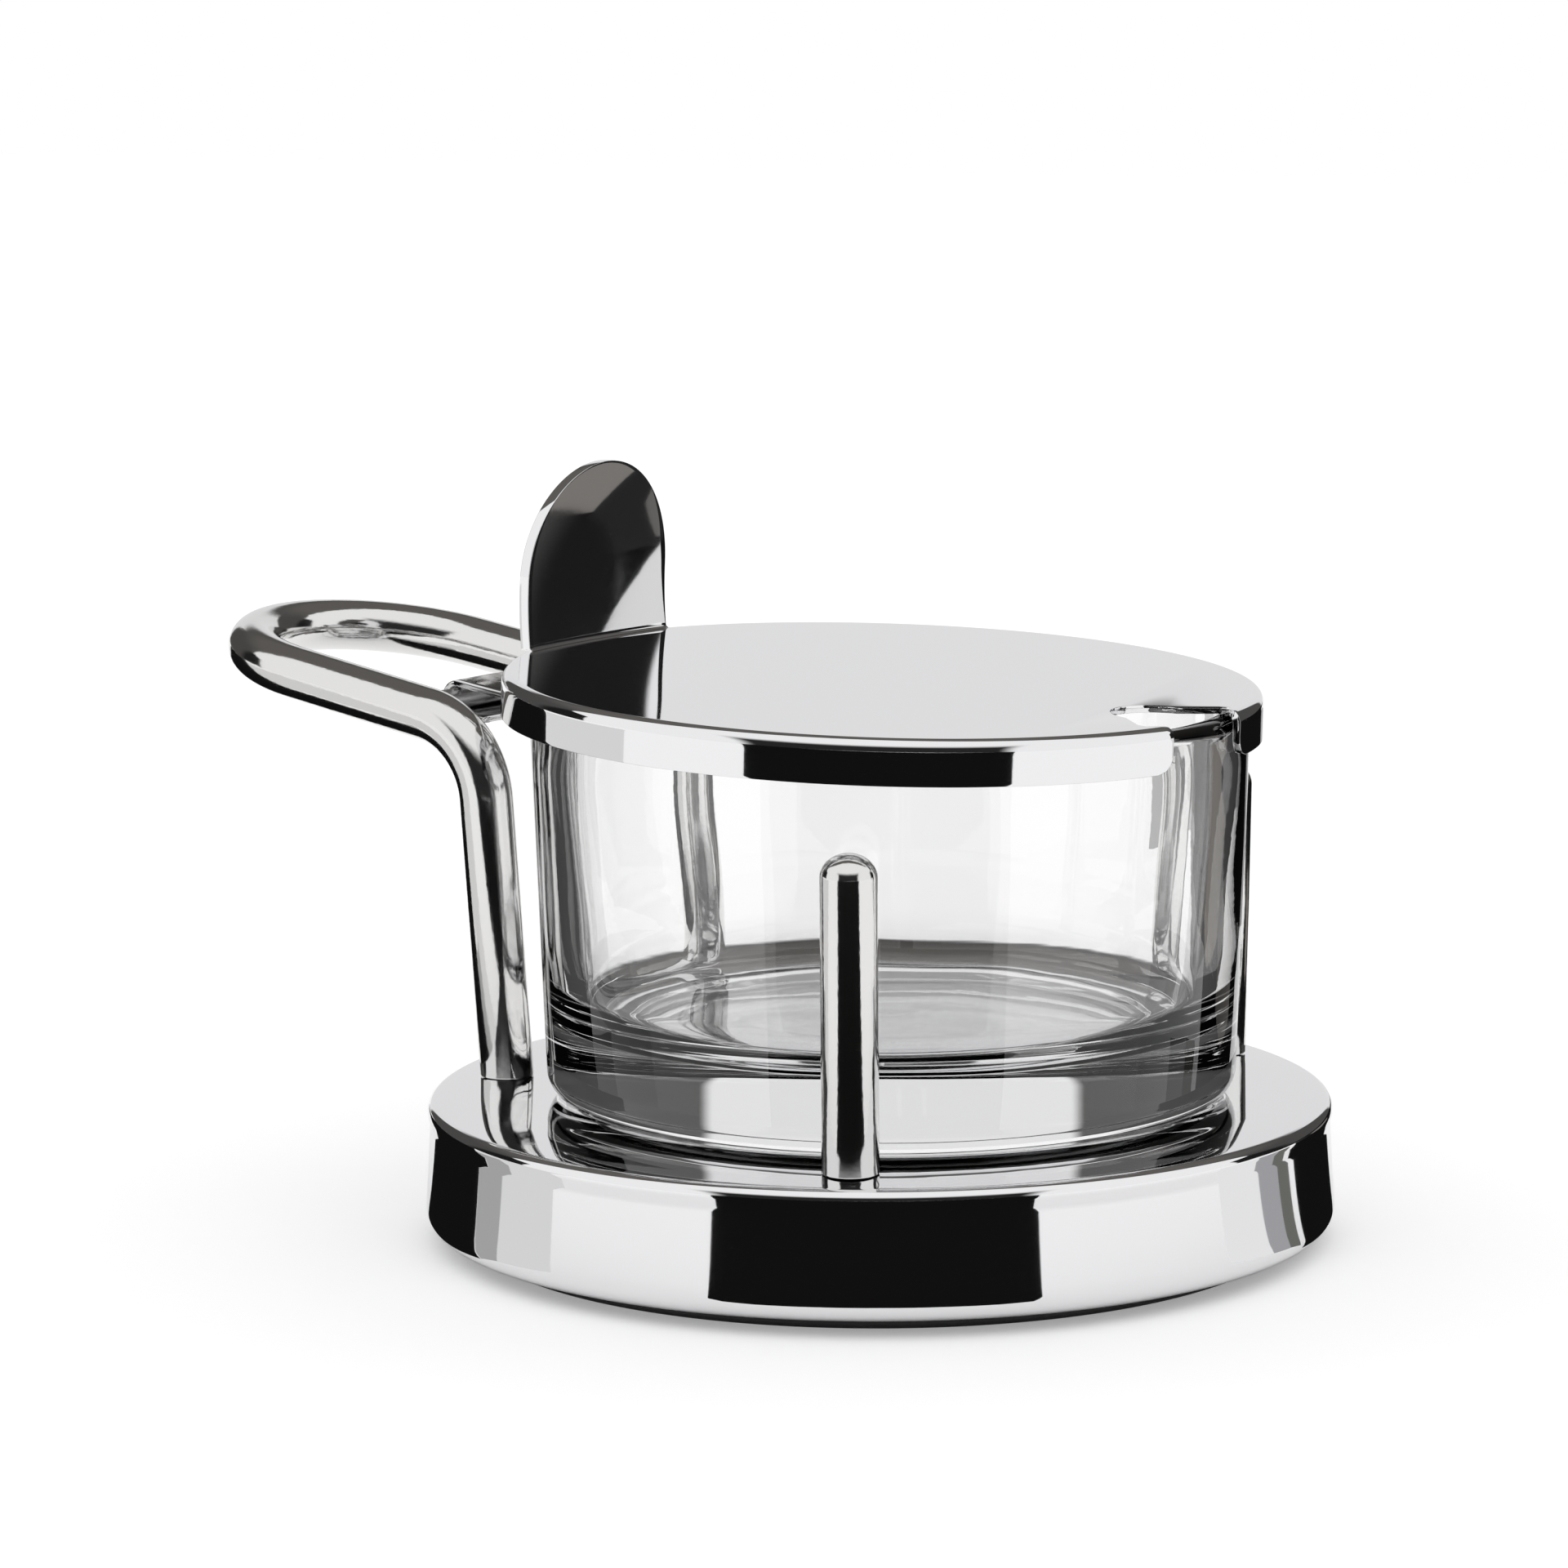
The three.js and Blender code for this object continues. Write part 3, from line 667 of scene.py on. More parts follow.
@dataclass
class Handle:
    """The bent rod, the cross rod that the lid swings on, and the two upright pins."""

    rod_radius: float = 3.6 * MM
    leg_x: float = -46.49 * MM
    leg_half_span: float = 20.65 * MM
    leg_lean: float = radians(4.335)
    bend_below_rim: float = 14.7 * MM
    bend_radius: float = 12 * MM
    arm_rise: float = radians(9.32)
    arm_length: float = 22.05 * MM
    loop_radius: float = 19.94 * MM
    cross_rod_radius: float = 1.5 * MM
    cross_rod_seat: float = 1.8 * MM
    cross_rod_round: float = 0.2 * MM
    pin_x: float = 25.87 * MM
    pin_y: float = 45.1 * MM
    pin_lean: float = radians(1.16)
    dome_height: float = 3.0 * MM
    dome_share: float = 0.999
    foot_gap: float = 0.04 * MM
    foot_chamfer: float = 0.18 * MM
    sides: int = 40
    bend_steps: int = 28
    loop_steps: int = 72

    def rod(self) -> BMesh:
        """Returns the bent rod's mesh, drawn from below the front foot round to below the rear one."""
        leg = Vector((-sin(self.leg_lean), 0, cos(self.leg_lean)))
        arm = Vector((-cos(self.arm_rise), 0, sin(self.arm_rise)))
        inward = Vector((-cos(self.leg_lean), 0, -sin(self.leg_lean)))
        spare = 2 * self.rod_radius
        bend_start_z = BOWL_HIGH.z - self.bend_below_rim
        leg_length = (bend_start_z - BASE_TOP) / cos(self.leg_lean)
        bend_angle = RIGHT_ANGLE - self.leg_lean - self.arm_rise
        narrowing = Vector((0, self.leg_half_span - self.loop_radius, 0))
        across = Vector((0, 1, 0))
        foot = Vector((self.leg_x, -self.leg_half_span, BASE_TOP))
        centre = foot + leg * leg_length + inward * self.bend_radius
        arm_start = centre - Matrix.Rotation(-bend_angle, 3, across) @ inward * self.bend_radius
        loop_centre = arm_start + arm * self.arm_length + narrowing
        loop_centre.y = 0
        rear_centre = Vector((centre.x, self.leg_half_span, centre.z))
        rod = RoundRod(self.rod_radius, foot - leg * spare, leg, self.sides)
        rod.straight(leg * (leg_length + spare))
        rod.bend(centre, across, -bend_angle, self.bend_steps)
        rod.straight(arm * self.arm_length + narrowing)
        rod.bend(loop_centre, across.cross(arm), -pi, self.loop_steps)
        rod.straight(-arm * self.arm_length + narrowing)
        rod.bend(rear_centre, across, bend_angle, self.bend_steps)
        rod.straight(-leg * (leg_length + spare))
        cut_level(rod.bm, BASE_TOP + self.foot_gap, self.foot_chamfer)
        return rod.bm

    def cross_rod(self) -> Object:
        """Returns the cross rod, which lies along Y on the hinge axis."""
        half = self.leg_half_span - self.rod_radius + self.cross_rod_seat
        outline = [
            Corner(0, -half),
            Corner(self.cross_rod_radius, -half, self.cross_rod_round),
            Corner(self.cross_rod_radius, half, self.cross_rod_round),
            Corner(0, half),
        ]
        lay = Matrix.Translation(HINGE_AXIS) @ Matrix.Rotation(RIGHT_ANGLE, 4, "X")
        return finished_object("cross_rod", turned_mesh(outline, self.sides, segments=2), lay)

    def pin(self, name: str, side: int, node: str) -> Object:
        """Makes one upright pin.

        Args:
            name: The piece's name.
            side: -1 for the front pin, 1 for the rear one.
            node: The CAD node that it stands for.

        Returns:
            The object.
        """
        foot = Vector((self.pin_x, side * self.pin_y, BASE_TOP))
        outward = Vector((foot.x - BOWL_CENTRE_X, foot.y, 0)).normalized()
        lean = Vector((0, 0, cos(self.pin_lean))) + outward * sin(self.pin_lean)
        height = (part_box(node)[1].z - BASE_TOP) / cos(self.pin_lean)
        radius = self.rod_radius
        outline = [
            Corner(0, -2 * radius),
            Corner(radius, -2 * radius),
            Corner(radius, height, radius * self.dome_share),
            Corner(0, height),
        ]
        bm = turned_mesh(outline, self.sides, self.sides // 4)
        layer = bm.verts.layers.float_vector.new(STRAIGHTENED)
        for vert in bm.verts:
            below_top = height - vert.co.z
            vert.co.z += max(0.0, min(radius, below_top)) * (1 - self.dome_height / radius)
            vert[layer] = vert.co.copy()
        bm.transform(stood_along(foot, lean))
        cut_level(bm, BASE_TOP + self.foot_gap, self.foot_chamfer)
        return finished_object(name, bm)

    def build(self) -> None:
        """Builds the four pieces."""
        handle = finished_object("bent_handle", self.rod())
        dress(handle, SATIN, Body.STAND, Slot.SATIN_STEEL, "handle_rod")
        dress(self.cross_rod(), PLAIN, Body.STAND, Slot.PLAIN_STEEL, "hinge_rod")
        for name, side, node in (("front_pin", -1, "bowl_pin_front"), ("rear_pin", 1, "bowl_pin_rear")):
            dress(self.pin(name, side, node), SATIN, Body.STAND, Slot.SATIN_STEEL, node)


# Glass bowl


@dataclass
class Bowl:
    """The thick tapered glass bowl."""

    taper: float = radians(2.05)
    wall: float = 5.2 * MM
    rim_wall: float = 4.0 * MM
    rim_round: float = 1.84 * MM
    floor: float = 9.5 * MM
    crown: float = 0.6 * MM
    crown_half_way: float = 0.45 * MM
    crown_radius: float = 20 * MM
    foot_round: float = 3.8 * MM
    inner_round: float = 7.0 * MM
    recess: float = 0.9 * MM
    recess_radius: float = 35.0 * MM
    recess_slope: float = 3 * MM
    recess_rounds: Span = (6 * MM, 4 * MM)
    seat_gap: float = 0.03 * MM
    waviness: float = 0.10 * MM
    wave_length: float = 17.0 * MM
    wavy_above: float = 8.55 * MM
    wavy_inside_wall: float = 2.4 * MM
    wavy_floor_share: float = 0.8
    steps: int = 288
    segments: int = 14
    longest_edge: float = 4 * MM
    cuts: int = 6

    def outline(self) -> list[Corner]:
        """Returns the bowl's half outline, from its underside round the rim to its floor."""
        foot = BOWL_RIM - BOWL_HEIGHT * tan(self.taper)
        inner_foot = foot - self.wall
        under = self.seat_gap + self.recess
        return [
            Corner(0, under),
            Corner(self.recess_radius, under, self.recess_rounds[0]),
            Corner(self.recess_radius + self.recess_slope, self.seat_gap, self.recess_rounds[1]),
            Corner(foot, self.seat_gap, self.foot_round),
            Corner(BOWL_RIM, BOWL_HEIGHT, self.rim_round),
            Corner(BOWL_RIM - self.rim_wall, BOWL_HEIGHT, self.rim_round),
            Corner(inner_foot, self.floor, self.inner_round),
            Corner(inner_foot / 2, self.floor + self.crown_half_way, self.crown_radius),
            Corner(0, self.floor + self.crown),
        ]

    def make_wavy(self, bm: BMesh) -> None:
        """Moves the inside a little, as pressed glass has it.

        Args:
            bm: The bowl's mesh, about its own axis.
        """
        for vert in bm.verts:
            radius = hypot(vert.co.x, vert.co.y)
            outer = BOWL_RIM - (BOWL_HEIGHT - vert.co.z) * tan(self.taper)
            if vert.co.z <= self.wavy_above or radius >= outer - self.wavy_inside_wall:
                continue
            wave = noise.noise(vert.co / self.wave_length) * self.waviness
            if radius > MERGE_DISTANCE:
                vert.co += Vector((vert.co.x, vert.co.y, 0)).normalized() * wave
            if radius < self.wavy_floor_share * outer:
                vert.co.z += wave

    def build(self) -> None:
        """Builds the bowl."""
        bm = turned_mesh(self.outline(), self.steps, self.segments)
        long_edges = [edge for edge in bm.edges if edge.calc_length() > self.longest_edge]
        bmesh.ops.subdivide_edges(bm, edges=long_edges, cuts=self.cuts, use_grid_fill=True)
        self.make_wavy(bm)
        bowl = finished_object("clear_bowl", bm, Matrix.Translation((BOWL_CENTRE_X, 0, BASE_TOP)))
        dress(bowl, GLASS, Body.BOWL, Slot.BOWL_GLASS, "glass_bowl")


# Lid


@dataclass
class Lid:
    """The lid's cover, thumb rest and hinge tongue, made level and then tilted onto the bowl."""

    radius: float = 50.1 * MM
    centre_x: float = 0.83 * MM
    tilt: float = radians(2.32)
    sheet: float = 1.0 * MM
    rim_height: float = 5.9 * MM
    edge_radius: float = 1.3 * MM
    edge_drop: float = 1.75 * MM
    cut_round: float = 0.22 * MM
    notch_end_radius: float = 6.5 * MM
    notch_depth: float = 14.1 * MM
    notch_spread: float = radians(12)
    notch_corner: float = 2.6 * MM
    notch_corner_start: float = 1.56 * MM
    notch_reach: float = radians(14)
    notch_steps: int = 28
    flat_rows: tuple[float, ...] = (2.1 * MM, 1.6 * MM, 1.1 * MM, 0.6 * MM, 0.3 * MM, 0.06 * MM)
    edge_rows: int = 10
    wall_rows: int = 12
    rim_steps: int = 320
    rest_half_width: float = 15.54 * MM
    rest_side_height: float = 9.1 * MM
    rest_arch_height: float = 15.55 * MM
    rest_thickness: float = 1.5 * MM
    rest_inset: float = 2.75 * MM
    rest_lean: float = radians(-6.93)
    rest_curl: float = 4.76 * MM
    rest_dish: float = 0.886 * MM
    rest_foot: float = 0.5 * MM
    rest_foot_gap: float = 0.02 * MM
    rest_round: float = 0.5 * MM
    rest_round_above: float = 0.1 * MM
    rest_sharp: float = radians(50)
    rest_columns: int = 30
    rest_rows: int = 44
    tongue_sheet: float = 0.9 * MM
    tongue_half_width: float = 10.0 * MM
    tongue_flare_start: float = 3.5 * MM
    tongue_flare_end: float = 4.6 * MM
    tongue_flare: float = radians(35)
    tongue_return: float = 6.6 * MM
    tongue_edge: float = 0.34 * MM
    tongue_inset: float = 1.5 * MM
    tongue_bore: float = 1.6 * MM
    tongue_overhang: float = 0.1 * MM
    tongue_gap: float = 0.03 * MM
    tongue_end_share: float = 0.8
    tongue_end_from: float = 1 * MM
    tongue_columns: int = 16
    roll_steps: int = 22

    def place(self) -> Matrix:
        """Returns the lid's place: its top's centre, tilted about Y."""
        drop = (self.radius - self.edge_radius) * sin(self.tilt) + self.edge_radius * (1 - cos(self.tilt))
        return Matrix.Translation((self.centre_x, 0, LID_TOP - drop)) @ Matrix.Rotation(self.tilt, 4, "Y")

    def notch_end_x(self) -> float:
        """Returns the place of the centre of the notch's round end."""
        return self.radius - self.notch_depth + self.notch_end_radius

    def notch_half_width(self, radius: float) -> float:
        """Returns half the notch's width at a distance from the lid's axis, past its round end."""
        slope = tan(self.notch_spread)
        return self.notch_end_radius / cos(self.notch_spread) + (radius - self.notch_end_x()) * slope

    def rim_profile(self) -> list[Span]:
        """Returns the radius and height of the rim's rows, from the flat top round the edge to the bottom."""
        flat = self.radius - self.edge_radius
        rows = [(flat - self.notch_corner, 0.0)]
        rows += [(flat - inwards, 0.0) for inwards in self.flat_rows]
        for index in range(self.edge_rows + 1):
            angle = RIGHT_ANGLE * (1 - index / self.edge_rows)
            rows.append((flat + self.edge_radius * cos(angle), self.edge_drop * (sin(angle) - 1)))
        low = self.rim_height - self.edge_drop
        count = self.wall_rows
        rows += [(self.radius, -self.edge_drop - low * index / count) for index in range(1, count + 1)]
        return rows

    def widening(self, along: float, whole: float) -> float:
        """Works out how much wider the notch is near the top and the bottom of the rim.

        Args:
            along: The distance down the rim's profile from its first row.
            whole: The profile's whole length.

        Returns:
            The extra half width.
        """
        corner = self.notch_corner
        near = min(along - self.notch_corner_start, whole - along)
        if near >= corner:
            return 0.0
        away = corner - max(near, 0.0)
        return corner - sqrt(max(corner**2 - away**2, 0.0))

    def cover_mesh(self) -> BMesh:
        """Returns the outer skin of the cover: the flat top with its notch, and the turned-down rim."""
        bm = bmesh.new()
        profile = self.rim_profile()
        lengths = [0.0]
        for (r0, z0), (r1, z1) in zip(profile, profile[1:]):
            lengths.append(lengths[-1] + hypot(r1 - r0, z1 - z0))
        start = asin(self.notch_half_width(self.radius) / self.radius)
        verts = [bm.verts.new((r, 0.0, z)) for r, z in profile]
        edges = [bm.edges.new(pair) for pair in zip(verts, verts[1:])]
        bmesh.ops.rotate(bm, verts=verts, cent=(0, 0, 0), matrix=Matrix.Rotation(start, 3, "Z"))
        bmesh.ops.spin(
            bm, geom=verts + edges, cent=(0, 0, 0), axis=(0, 0, 1), angle=FULL_TURN - 2 * start,
            steps=self.rim_steps, use_merge=False,
        )
        for vert in bm.verts:
            radius = hypot(vert.co.x, vert.co.y)
            angle = atan2(vert.co.y, vert.co.x)
            _, along = min((hypot(r - radius, z - vert.co.z), length) for (r, z), length in zip(profile, lengths))
            first = asin((self.notch_half_width(radius) + self.widening(along, lengths[-1])) / radius)
            fade = max(0.0, 1 - (abs(angle) - start) / self.notch_reach)
            moved = abs(angle) + (first - start) * fade
            vert.co.x = radius * cos(moved)
            vert.co.y = copysign(radius * sin(moved), angle)
        self.fill_top(bm)
        return bm

    def fill_top(self, bm: BMesh) -> None:
        """Closes the flat top inside the rim's first row, leaving the notch open.

        Args:
            bm: The rim strip.
        """
        first = self.radius - self.edge_radius - self.notch_corner
        ring = [vert for vert in bm.verts if hypot(vert.co.x, vert.co.y) < first + 10 * MERGE_DISTANCE]
        ring.sort(key=lambda vert: atan2(vert.co.y, vert.co.x) % FULL_TURN)
        spread = RIGHT_ANGLE + self.notch_spread
        end_x, end = self.notch_end_x(), self.notch_end_radius
        path = []
        for index in range(self.notch_steps + 1):
            angle = -spread - (FULL_TURN - 2 * spread) * index / self.notch_steps
            path.append(bm.verts.new((end_x + end * cos(angle), end * sin(angle), 0.0)))
        bm.faces.new(ring + path)

    def cover(self) -> Object:
        """Returns the cover: its skin, thickened inwards, with the cut edges rounded."""
        bm = self.cover_mesh()
        face_outwards(bm)
        if sum(face.normal.z * face.calc_area() for face in bm.faces) < 0:
            bmesh.ops.reverse_faces(bm, faces=bm.faces[:])
        bmesh.ops.solidify(bm, geom=bm.verts[:] + bm.edges[:] + bm.faces[:], thickness=self.sheet)
        round_edges(bm, sharper_edges(bm, CUT_EDGE_ANGLE), self.cut_round, segments=3)
        return finished_object("lid_cover", bm, self.place())

    def rest_point(self, across: float, up: float, back: float) -> Vector:
        """Works out a point of the thumb rest.

        Args:
            across: From -1 at one side to 1 at the other.
            up: From -1 at the foot, through 0 at the arch's start, to 1 at the top.
            back: 0 on the face and 1 on the back.

        Returns:
            The point, in the lid's frame.
        """
        width, side, arch = self.rest_half_width, self.rest_side_height, self.rest_arch_height
        if up <= 0:
            y, z = across * width, (1 + up) * side
        else:
            y, z = across * sqrt(1 - up**2 / 2) * width, side + up * sqrt(1 - across**2 / 2) * arch
        foot = self.rest_foot
        flare = foot - sqrt(max(foot**2 - (foot - z) ** 2, 0.0)) if z < foot else 0.0
        curl = self.rest_curl * (z / (side + arch)) ** 2
        dish = self.rest_dish * (y / width) ** 2
        x = self.rest_inset - self.radius - self.rest_thickness * back + z * sin(self.rest_lean) + curl + dish
        return Vector((x + flare * (1 - back), y, z * cos(self.rest_lean) + self.rest_foot_gap))

    def rest(self) -> Object:
        """Returns the thumb rest: a curled, dished, round-topped sheet with a soft foot."""
        bm = bmesh.new()
        bmesh.ops.create_grid(bm, x_segments=self.rest_columns, y_segments=self.rest_rows, size=1.0)
        face = bm.verts[:]
        grown = bmesh.ops.extrude_face_region(bm, geom=bm.faces[:], use_keep_orig=True)["geom"]
        for back, verts in ((0.0, face), (1.0, only(BMVert, grown))):
            for vert in verts:
                across, up, _ = vert.co
                eased = (1 + up) ** 2 - 1 if up < 0 else up
                vert.co = self.rest_point(across, eased, back)
        face_outwards(bm)
        sharp = [
            edge for edge in sharper_edges(bm, self.rest_sharp)
            if min(vert.co.z for vert in edge.verts) > self.rest_round_above
        ]
        round_edges(bm, sharp, self.rest_round, segments=4)
        return finished_object("thumb_rest", bm, self.place(), self.rest_sharp)

    def tongue_outline(self, axis: Vector) -> list[Span]:
        """Works out the tongue's side view.

        Args:
            axis: The hinge axis in the lid's frame.

        Returns:
            Points across and up, in order.
        """
        inner = self.tongue_bore
        outer = inner + self.tongue_sheet
        seat_in = -self.tongue_end_share * self.radius
        seat_out = -self.radius - self.tongue_overhang
        seat_z = -self.rim_height - self.tongue_gap
        reach = hypot(seat_out - axis.x, seat_z - axis.z)
        slope = atan2(seat_z - axis.z, seat_out - axis.x) - asin(outer / reach)
        start, end = RIGHT_ANGLE + slope, 3 * RIGHT_ANGLE
        angles = [start + (end - start) * index / self.roll_steps for index in range(self.roll_steps + 1)]
        back_x = axis.x + self.tongue_return
        points = [(seat_in, seat_z), (seat_out, seat_z)]
        points += [(axis.x + outer * cos(a), axis.z + outer * sin(a)) for a in angles]
        points += [(back_x, axis.z - outer), (back_x, axis.z - inner)]
        points += [(axis.x + inner * cos(a), axis.z + inner * sin(a)) for a in reversed(angles)]
        points += [(seat_out, seat_z - self.tongue_sheet), (seat_in, seat_z - self.tongue_sheet)]
        return points

    def tongue(self) -> Object:
        """Returns the hinge tongue: a flared leaf under the rim, rolled round the cross rod."""
        axis = self.place().inverted() @ HINGE_AXIS
        bm = bmesh.new()
        half = self.tongue_half_width
        face = bm.faces.new([bm.verts.new((x, -half, z)) for x, z in self.tongue_outline(axis)])
        current = face
        for _ in range(self.tongue_columns):
            grown = bmesh.ops.extrude_face_region(bm, geom=[current], use_keep_orig=current is face)["geom"]
            current = only(BMFace, grown)[0]
            bmesh.ops.translate(bm, verts=only(BMVert, grown), vec=(0, 2 * half / self.tongue_columns, 0))
        flare_x = axis.x + self.tongue_flare_start
        seat_x = -self.radius - self.tongue_overhang
        for vert in bm.verts:
            at_end = vert.co.x > seat_x + self.tongue_end_from
            flared = (seat_x + self.tongue_flare_end if at_end else vert.co.x) - flare_x
            vert.co.y = vert.co.y / half * (half + max(0.0, flared) * tan(self.tongue_flare))
            if at_end:
                vert.co.x = -sqrt((self.radius - self.tongue_inset) ** 2 - vert.co.y**2)
        face_outwards(bm)
        round_edges(bm, sharper_edges(bm, CUT_EDGE_ANGLE), self.tongue_edge, segments=4)
        return finished_object("rolled_tongue", bm, self.place())

    def build(self) -> None:
        """Builds the three pieces."""
        dress(self.cover(), POLISHED, Body.LID, Slot.POLISHED_STEEL, "lid_disc")
        dress(self.rest(), POLISHED, Body.LID, Slot.POLISHED_STEEL, "thumb_plate")
        dress(self.tongue(), LEAF, Body.LID, Slot.SATIN_STEEL, "hinge_tongue")


def dress_hidden_nodes() -> None:
    """Gives the CAD nodes inside the base their plain steel."""
    for name, node in frame["nodes"].items():
        if name.startswith(("base_stiffener", "screw_", "washer_")):
            node.data.materials.clear()
            node.data.materials.append(PLAIN.material())


# Studio


def grey(level: float) -> Colour:
    """Returns a grey."""
    return (level, level, level)


@dataclass(frozen=True)
class Card:
    """A glowing card on the floor that shows only in reflections and through the glass.

    Its plan is in millimetres from the base's axis, to the camera's right and away from the camera.
    """

    name: str
    shade: Colour
    plan: tuple[Span, ...]


BLACK = grey(0.006)
CARDS = (
    Card("card_front", BLACK, (
        (-33, -69), (-27, -66.5), (-21, -66.6), (-10, -69.5), (0, -70.5), (10, -69.5), (20, -66.8), (26, -66.3),
        (33, -72.3), (2200, -2720), (-2400, -2728),
    )),
    Card("card_right", BLACK, (
        (57.5, -20.3), (62, -17), (118, 23.5), (215, 93.6), (300, 92), (316, 96), (380, 116), (452, 137),
        (786, 250), (2800, 930), (2800, 2800), (900, 2800), (380, 800), (200, 432), (130, 302), (112, 205),
        (112, 150), (85, 60), (60.5, 0),
    )),
    Card("card_left", BLACK, (
        (-56, -27.6), (-118, 9.5), (-2600, 1494), (-1550, 2550), (-308, 506), (-190, 415), (-150, 300),
        (-128, 195), (-125, 150), (-90, 60), (-60.5, 0),
    )),
    Card("card_mid_right", grey(0.42), (
        (80, 222), (112, 205), (130, 302), (200, 432), (380, 800), (330, 800), (158, 432), (92, 318),
    )),
    Card("card_warm_strip", (0.150, 0.154, 0.138), ((61, -19.4), (150, 37.5), (156, 25), (64, -21))),
    Card("card_cool_strip", (0.375, 0.375, 0.39), ((64, -21), (156, 25), (160, 2.8), (65, -26))),
    Card("card_pale_right", grey(0.88), ((65, -26), (160, 2.8), (175, -35), (66, -38))),
    Card("card_grey_left", grey(0.40), ((-56.5, -27.7), (-156, 32.2), (-163, 4.9), (-60, -30.8))),
    Card("card_pale_left", grey(0.74), (
        (-60, -30.8), (-163, 4.9), (-180, 42), (-900, 472), (-900, -160), (-175, -45), (-61, -44),
    )),
    Card("card_brown", (0.21, 0.197, 0.183), (
        (160, 112), (120, 75), (150, 85), (176, 112), (215, 140), (215, 180), (150, 170), (120, 110),
    )),
    Card("card_dark", grey(0.02), (
        (176, 112), (150, 85), (170, 93), (215, 102), (290, 98), (316, 96), (330, 160), (230, 150), (215, 140),
    )),
    Card("card_dim", (0.14, 0.135, 0.13), ((170, 93), (215, 102), (290, 98), (300, 80), (225, 75))),
    Card("card_pale_far", grey(0.76), (
        (312, 60), (316, 96), (380, 116), (452, 137), (786, 250), (2800, 930), (2800, 200),
    )),
)


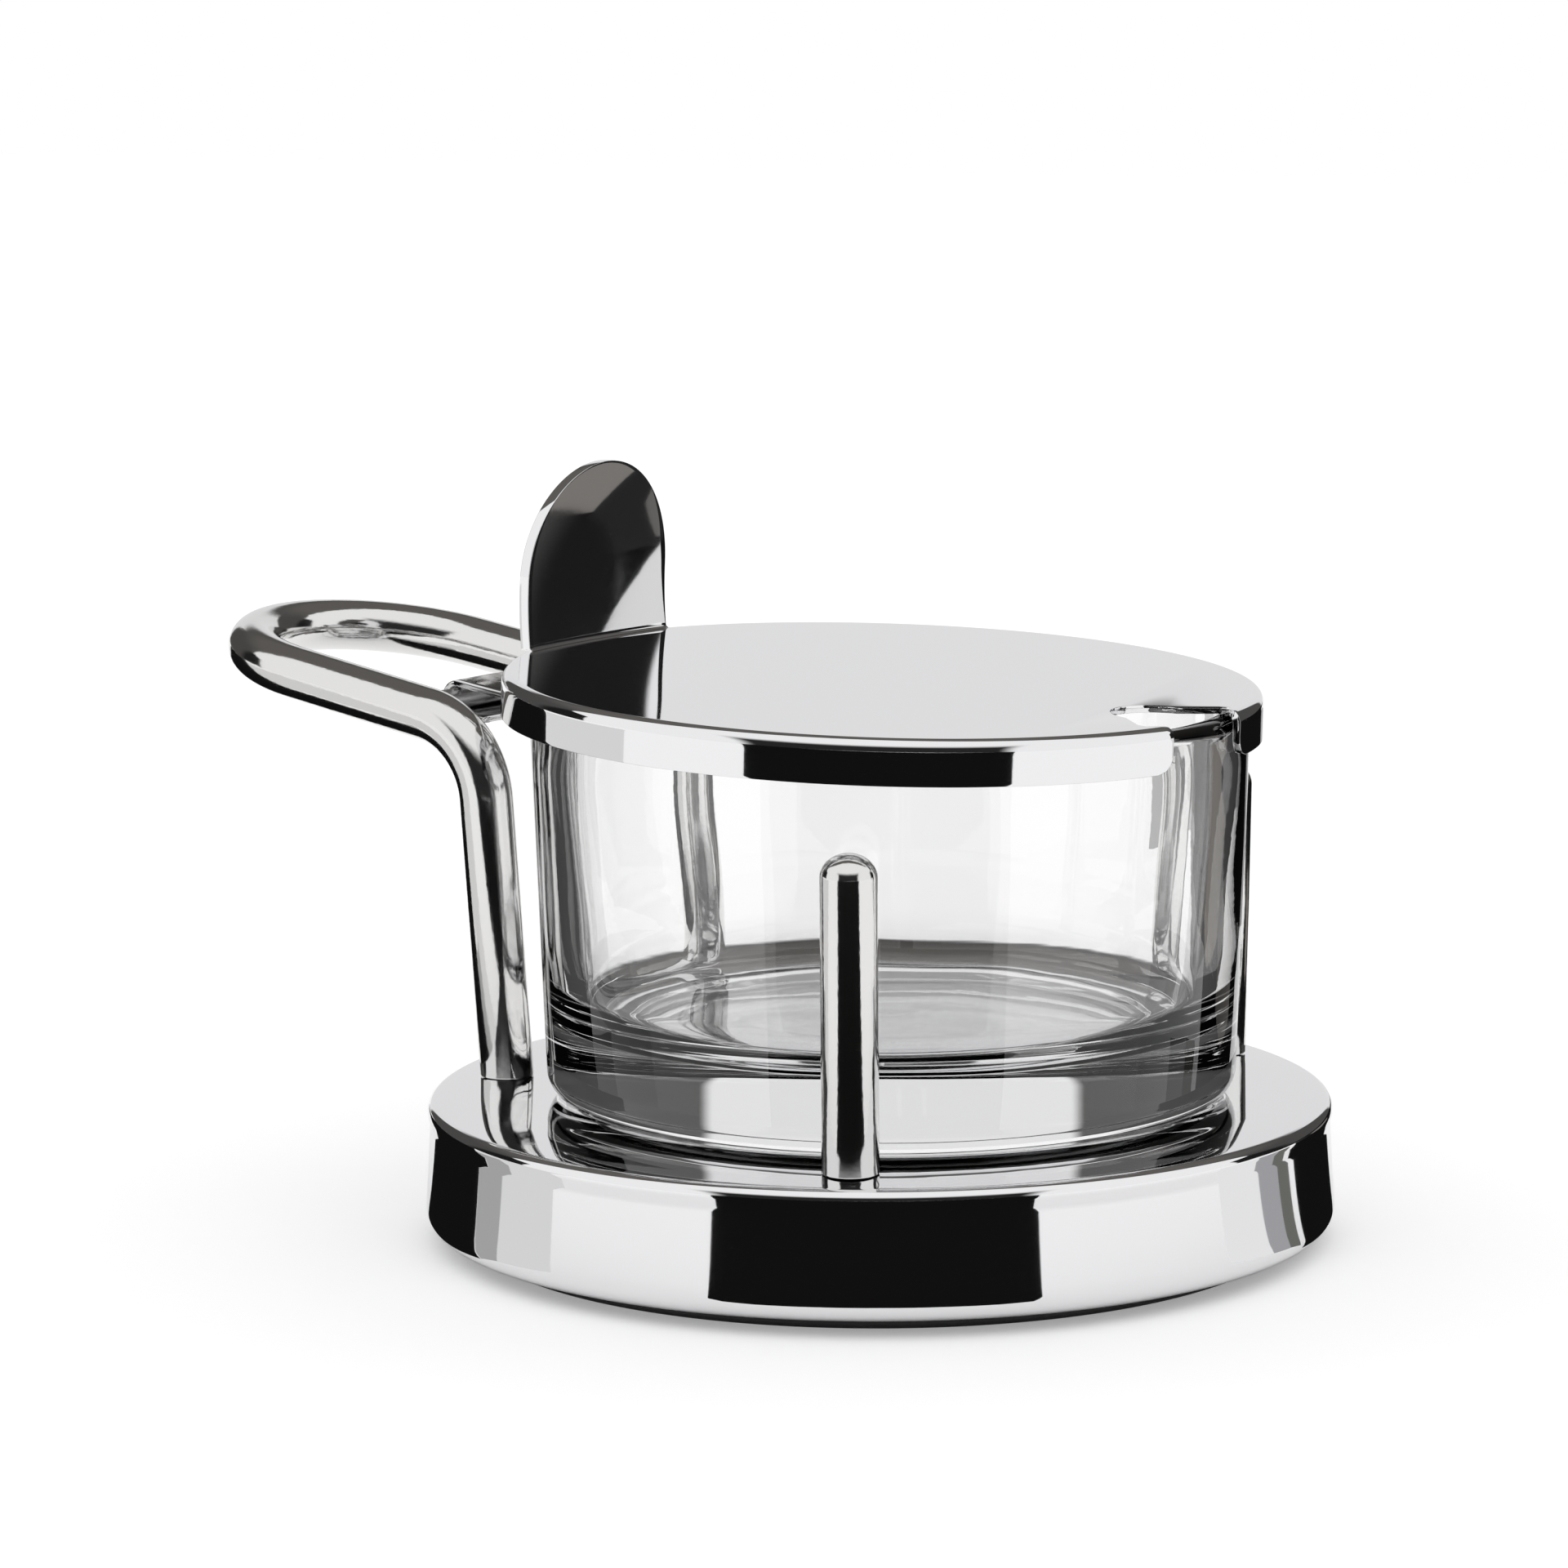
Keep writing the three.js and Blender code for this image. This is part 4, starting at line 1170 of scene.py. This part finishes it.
@dataclass
class Studio:
    """The camera, the white surroundings, the floor and the cards on it.

    Directions of the surroundings are taken across to the camera's right, away from it and up. A
    span gives the values at which a soft step between two areas starts and ends.
    """

    camera_azimuth: float = radians(33.805)
    camera_distance: float = 708.484 * MM
    camera_height: float = 167.84 * MM
    camera_pitch: float = radians(8.65)
    camera_yaw: float = radians(0.993)
    camera_roll: float = radians(-0.217)
    lens_in_pixels: float = 6652.0
    frame_in_pixels: float = 1920.0
    sensor: float = 36.0
    clip: Span = (0.01, 50.0)
    floor_size: float = 6.0
    floor_glow: float = 1.4
    floor_glow_share: float = 0.2
    card_level: float = 0.4 * MM
    card_step: float = 0.01 * MM
    glass_dark: Colour = grey(0.075)
    glass_lift: float = 0.45
    back_shade: Colour = (0.78, 0.78, 0.785)
    soft_light: Colour = grey(0.95)
    dark_shade: Colour = grey(0.012)
    ceiling_shade: Colour = (0.12, 0.113, 0.105)
    dim_shade: Colour = (0.07, 0.068, 0.066)
    dark_from: Span = (0.15, 0.17)
    dark_rise: float = 0.18
    dark_rise_from: Span = (0.28, 0.42)
    dark_return: float = 0.28
    dark_return_from: Span = (0.45, 0.95)
    dim_side: Span = (0.80, 0.88)
    window_top: Span = (0.35, 0.47)
    window_side: Span = (0.35, 0.39)
    ceiling_from: Span = (0.40, 0.70)
    front_shade: Colour = grey(0.02)
    front_middle: float = -0.02
    front_side: Span = (0.58, 0.67)
    front_top: Span = (0.40, 0.66)
    front_from: Span = (0.0, 0.1)

    def camera(self) -> None:
        """Makes the camera at the photograph's viewpoint."""
        data = bpy.data.cameras.new("camera")
        data.sensor_width = self.sensor
        data.lens = self.sensor * self.lens_in_pixels / self.frame_in_pixels
        data.clip_start, data.clip_end = self.clip
        made = bpy.data.objects.new("camera", data)
        bpy.context.scene.collection.objects.link(made)
        turn = UNMOVED
        for angle, axis in (
            (self.camera_azimuth, "Z"), (RIGHT_ANGLE - self.camera_pitch, "X"),
            (self.camera_yaw, "Y"), (self.camera_roll, "Z"),
        ):
            turn = turn @ Matrix.Rotation(angle, 4, axis)
        away = Vector((sin(self.camera_azimuth), -cos(self.camera_azimuth), 0)) * self.camera_distance
        made.matrix_world = Matrix.Translation(away + Vector((0, 0, self.camera_height))) @ turn
        bpy.context.scene.camera = made

    def world(self) -> None:
        """Makes even white light, and a room that reflections and the glass show.

        The room is bright on the camera's side, with a dark area in its middle, and dark on the far
        side, with a pale window. Through the glass the window reaches higher and no area is darker
        than dark grey.
        """
        world = bpy.data.worlds.new("surroundings")
        bpy.context.scene.world = world
        graph = Graph(world)
        direction = graph.node("TexCoord", {}, {}, "Generated")
        right = (cos(self.camera_azimuth), sin(self.camera_azimuth), 0)
        up = graph.node("SeparateXYZ", {}, {"Vector": direction}, "Z")
        across, away = (
            graph.node("VectorMath", {"operation": "DOT_PRODUCT"}, {0: direction, 1: way}, "Value")
            for way in (right, (-right[1], right[0], 0))
        )
        side = abs(across)
        through = graph.ray("Transmission")
        rise = self.dark_rise * up.step(self.dark_rise_from)
        back = (away - rise + self.dark_return * up.step(self.dark_return_from)).step(self.dark_from)
        lowered = up - self.glass_lift * through
        window = (1 - lowered.step(self.window_top)) * (1 - side.step(self.window_side))
        dark = graph.mix(self.dim_shade, self.dark_shade, side.step(self.dim_side))
        dark = graph.mix(dark, self.ceiling_shade, up.step(self.ceiling_from))
        beside = abs(across - self.front_middle)
        middle = (1 - up.step(self.front_top)) * (1 - beside.step(self.front_side))
        middle = middle * (-1 * away).step(self.front_from)
        front = graph.mix(self.soft_light, self.front_shade, middle)
        room = graph.mix(front, graph.mix(dark, self.back_shade, window), back)
        paler = graph.mix(room, self.glass_dark, through, "LIGHTEN")
        colour = graph.mix(WHITE, paler, graph.ray("Glossy").larger(through))
        graph.surface(graph.node("Background", {}, {"Color": colour, "Strength": 1.0}), "World")

    def floor(self) -> None:
        """Makes the plain white floor, which the camera sees a little brighter than its light makes it."""
        bm = bmesh.new()
        bmesh.ops.create_grid(bm, x_segments=2, y_segments=2, size=self.floor_size / 2)
        made = finished_object("floor", bm)
        material = bpy.data.materials.new("pale_floor")
        graph = Graph(material)
        white = (*WHITE, 1.0)
        lit = graph.node("BsdfDiffuse", {}, {"Color": white})
        glow = graph.node("Emission", {}, {"Color": white, "Strength": self.floor_glow})
        share = self.floor_glow_share * graph.ray("Camera")
        graph.surface(graph.node("MixShader", {}, {0: share, 1: lit, 2: glow}))
        made.data.materials.append(material)

    def add_card(self, card: Card, level: float) -> None:
        """Makes one card, which looks no darker than dark grey through the glass.

        Args:
            card: Its plan and shade.
            level: Its height above the floor.
        """
        bm = bmesh.new()
        verts = [bm.verts.new((right * MM, away * MM, level)) for right, away in card.plan]
        bmesh.ops.triangulate(bm, faces=[bm.faces.new(verts)])
        made = finished_object(card.name, bm, Matrix.Rotation(self.camera_azimuth, 4, "Z"))
        material = bpy.data.materials.new(card.name)
        graph = Graph(material)
        paler = tuple(map(max, card.shade, self.glass_dark))
        colour = graph.mix(card.shade, paler, graph.ray("Transmission"))
        graph.surface(graph.node("Emission", {}, {"Color": colour, "Strength": 1.0}))
        made.data.materials.append(material)
        made.visible_camera = made.visible_diffuse = made.visible_shadow = False

    def build(self) -> None:
        """Builds the studio."""
        self.camera()
        self.world()
        self.floor()
        for index, card in enumerate(CARDS):
            self.add_card(card, self.card_level + index * self.card_step)
        bpy.context.scene.view_settings.view_transform = "Standard"


def main() -> None:
    """Builds the studio and the object."""
    logging.basicConfig(level=logging.INFO)
    for part in (Studio(), Base(), Handle(), Bowl(), Lid()):
        part.build()
    dress_hidden_nodes()


if __name__ == "__main__":
    main()
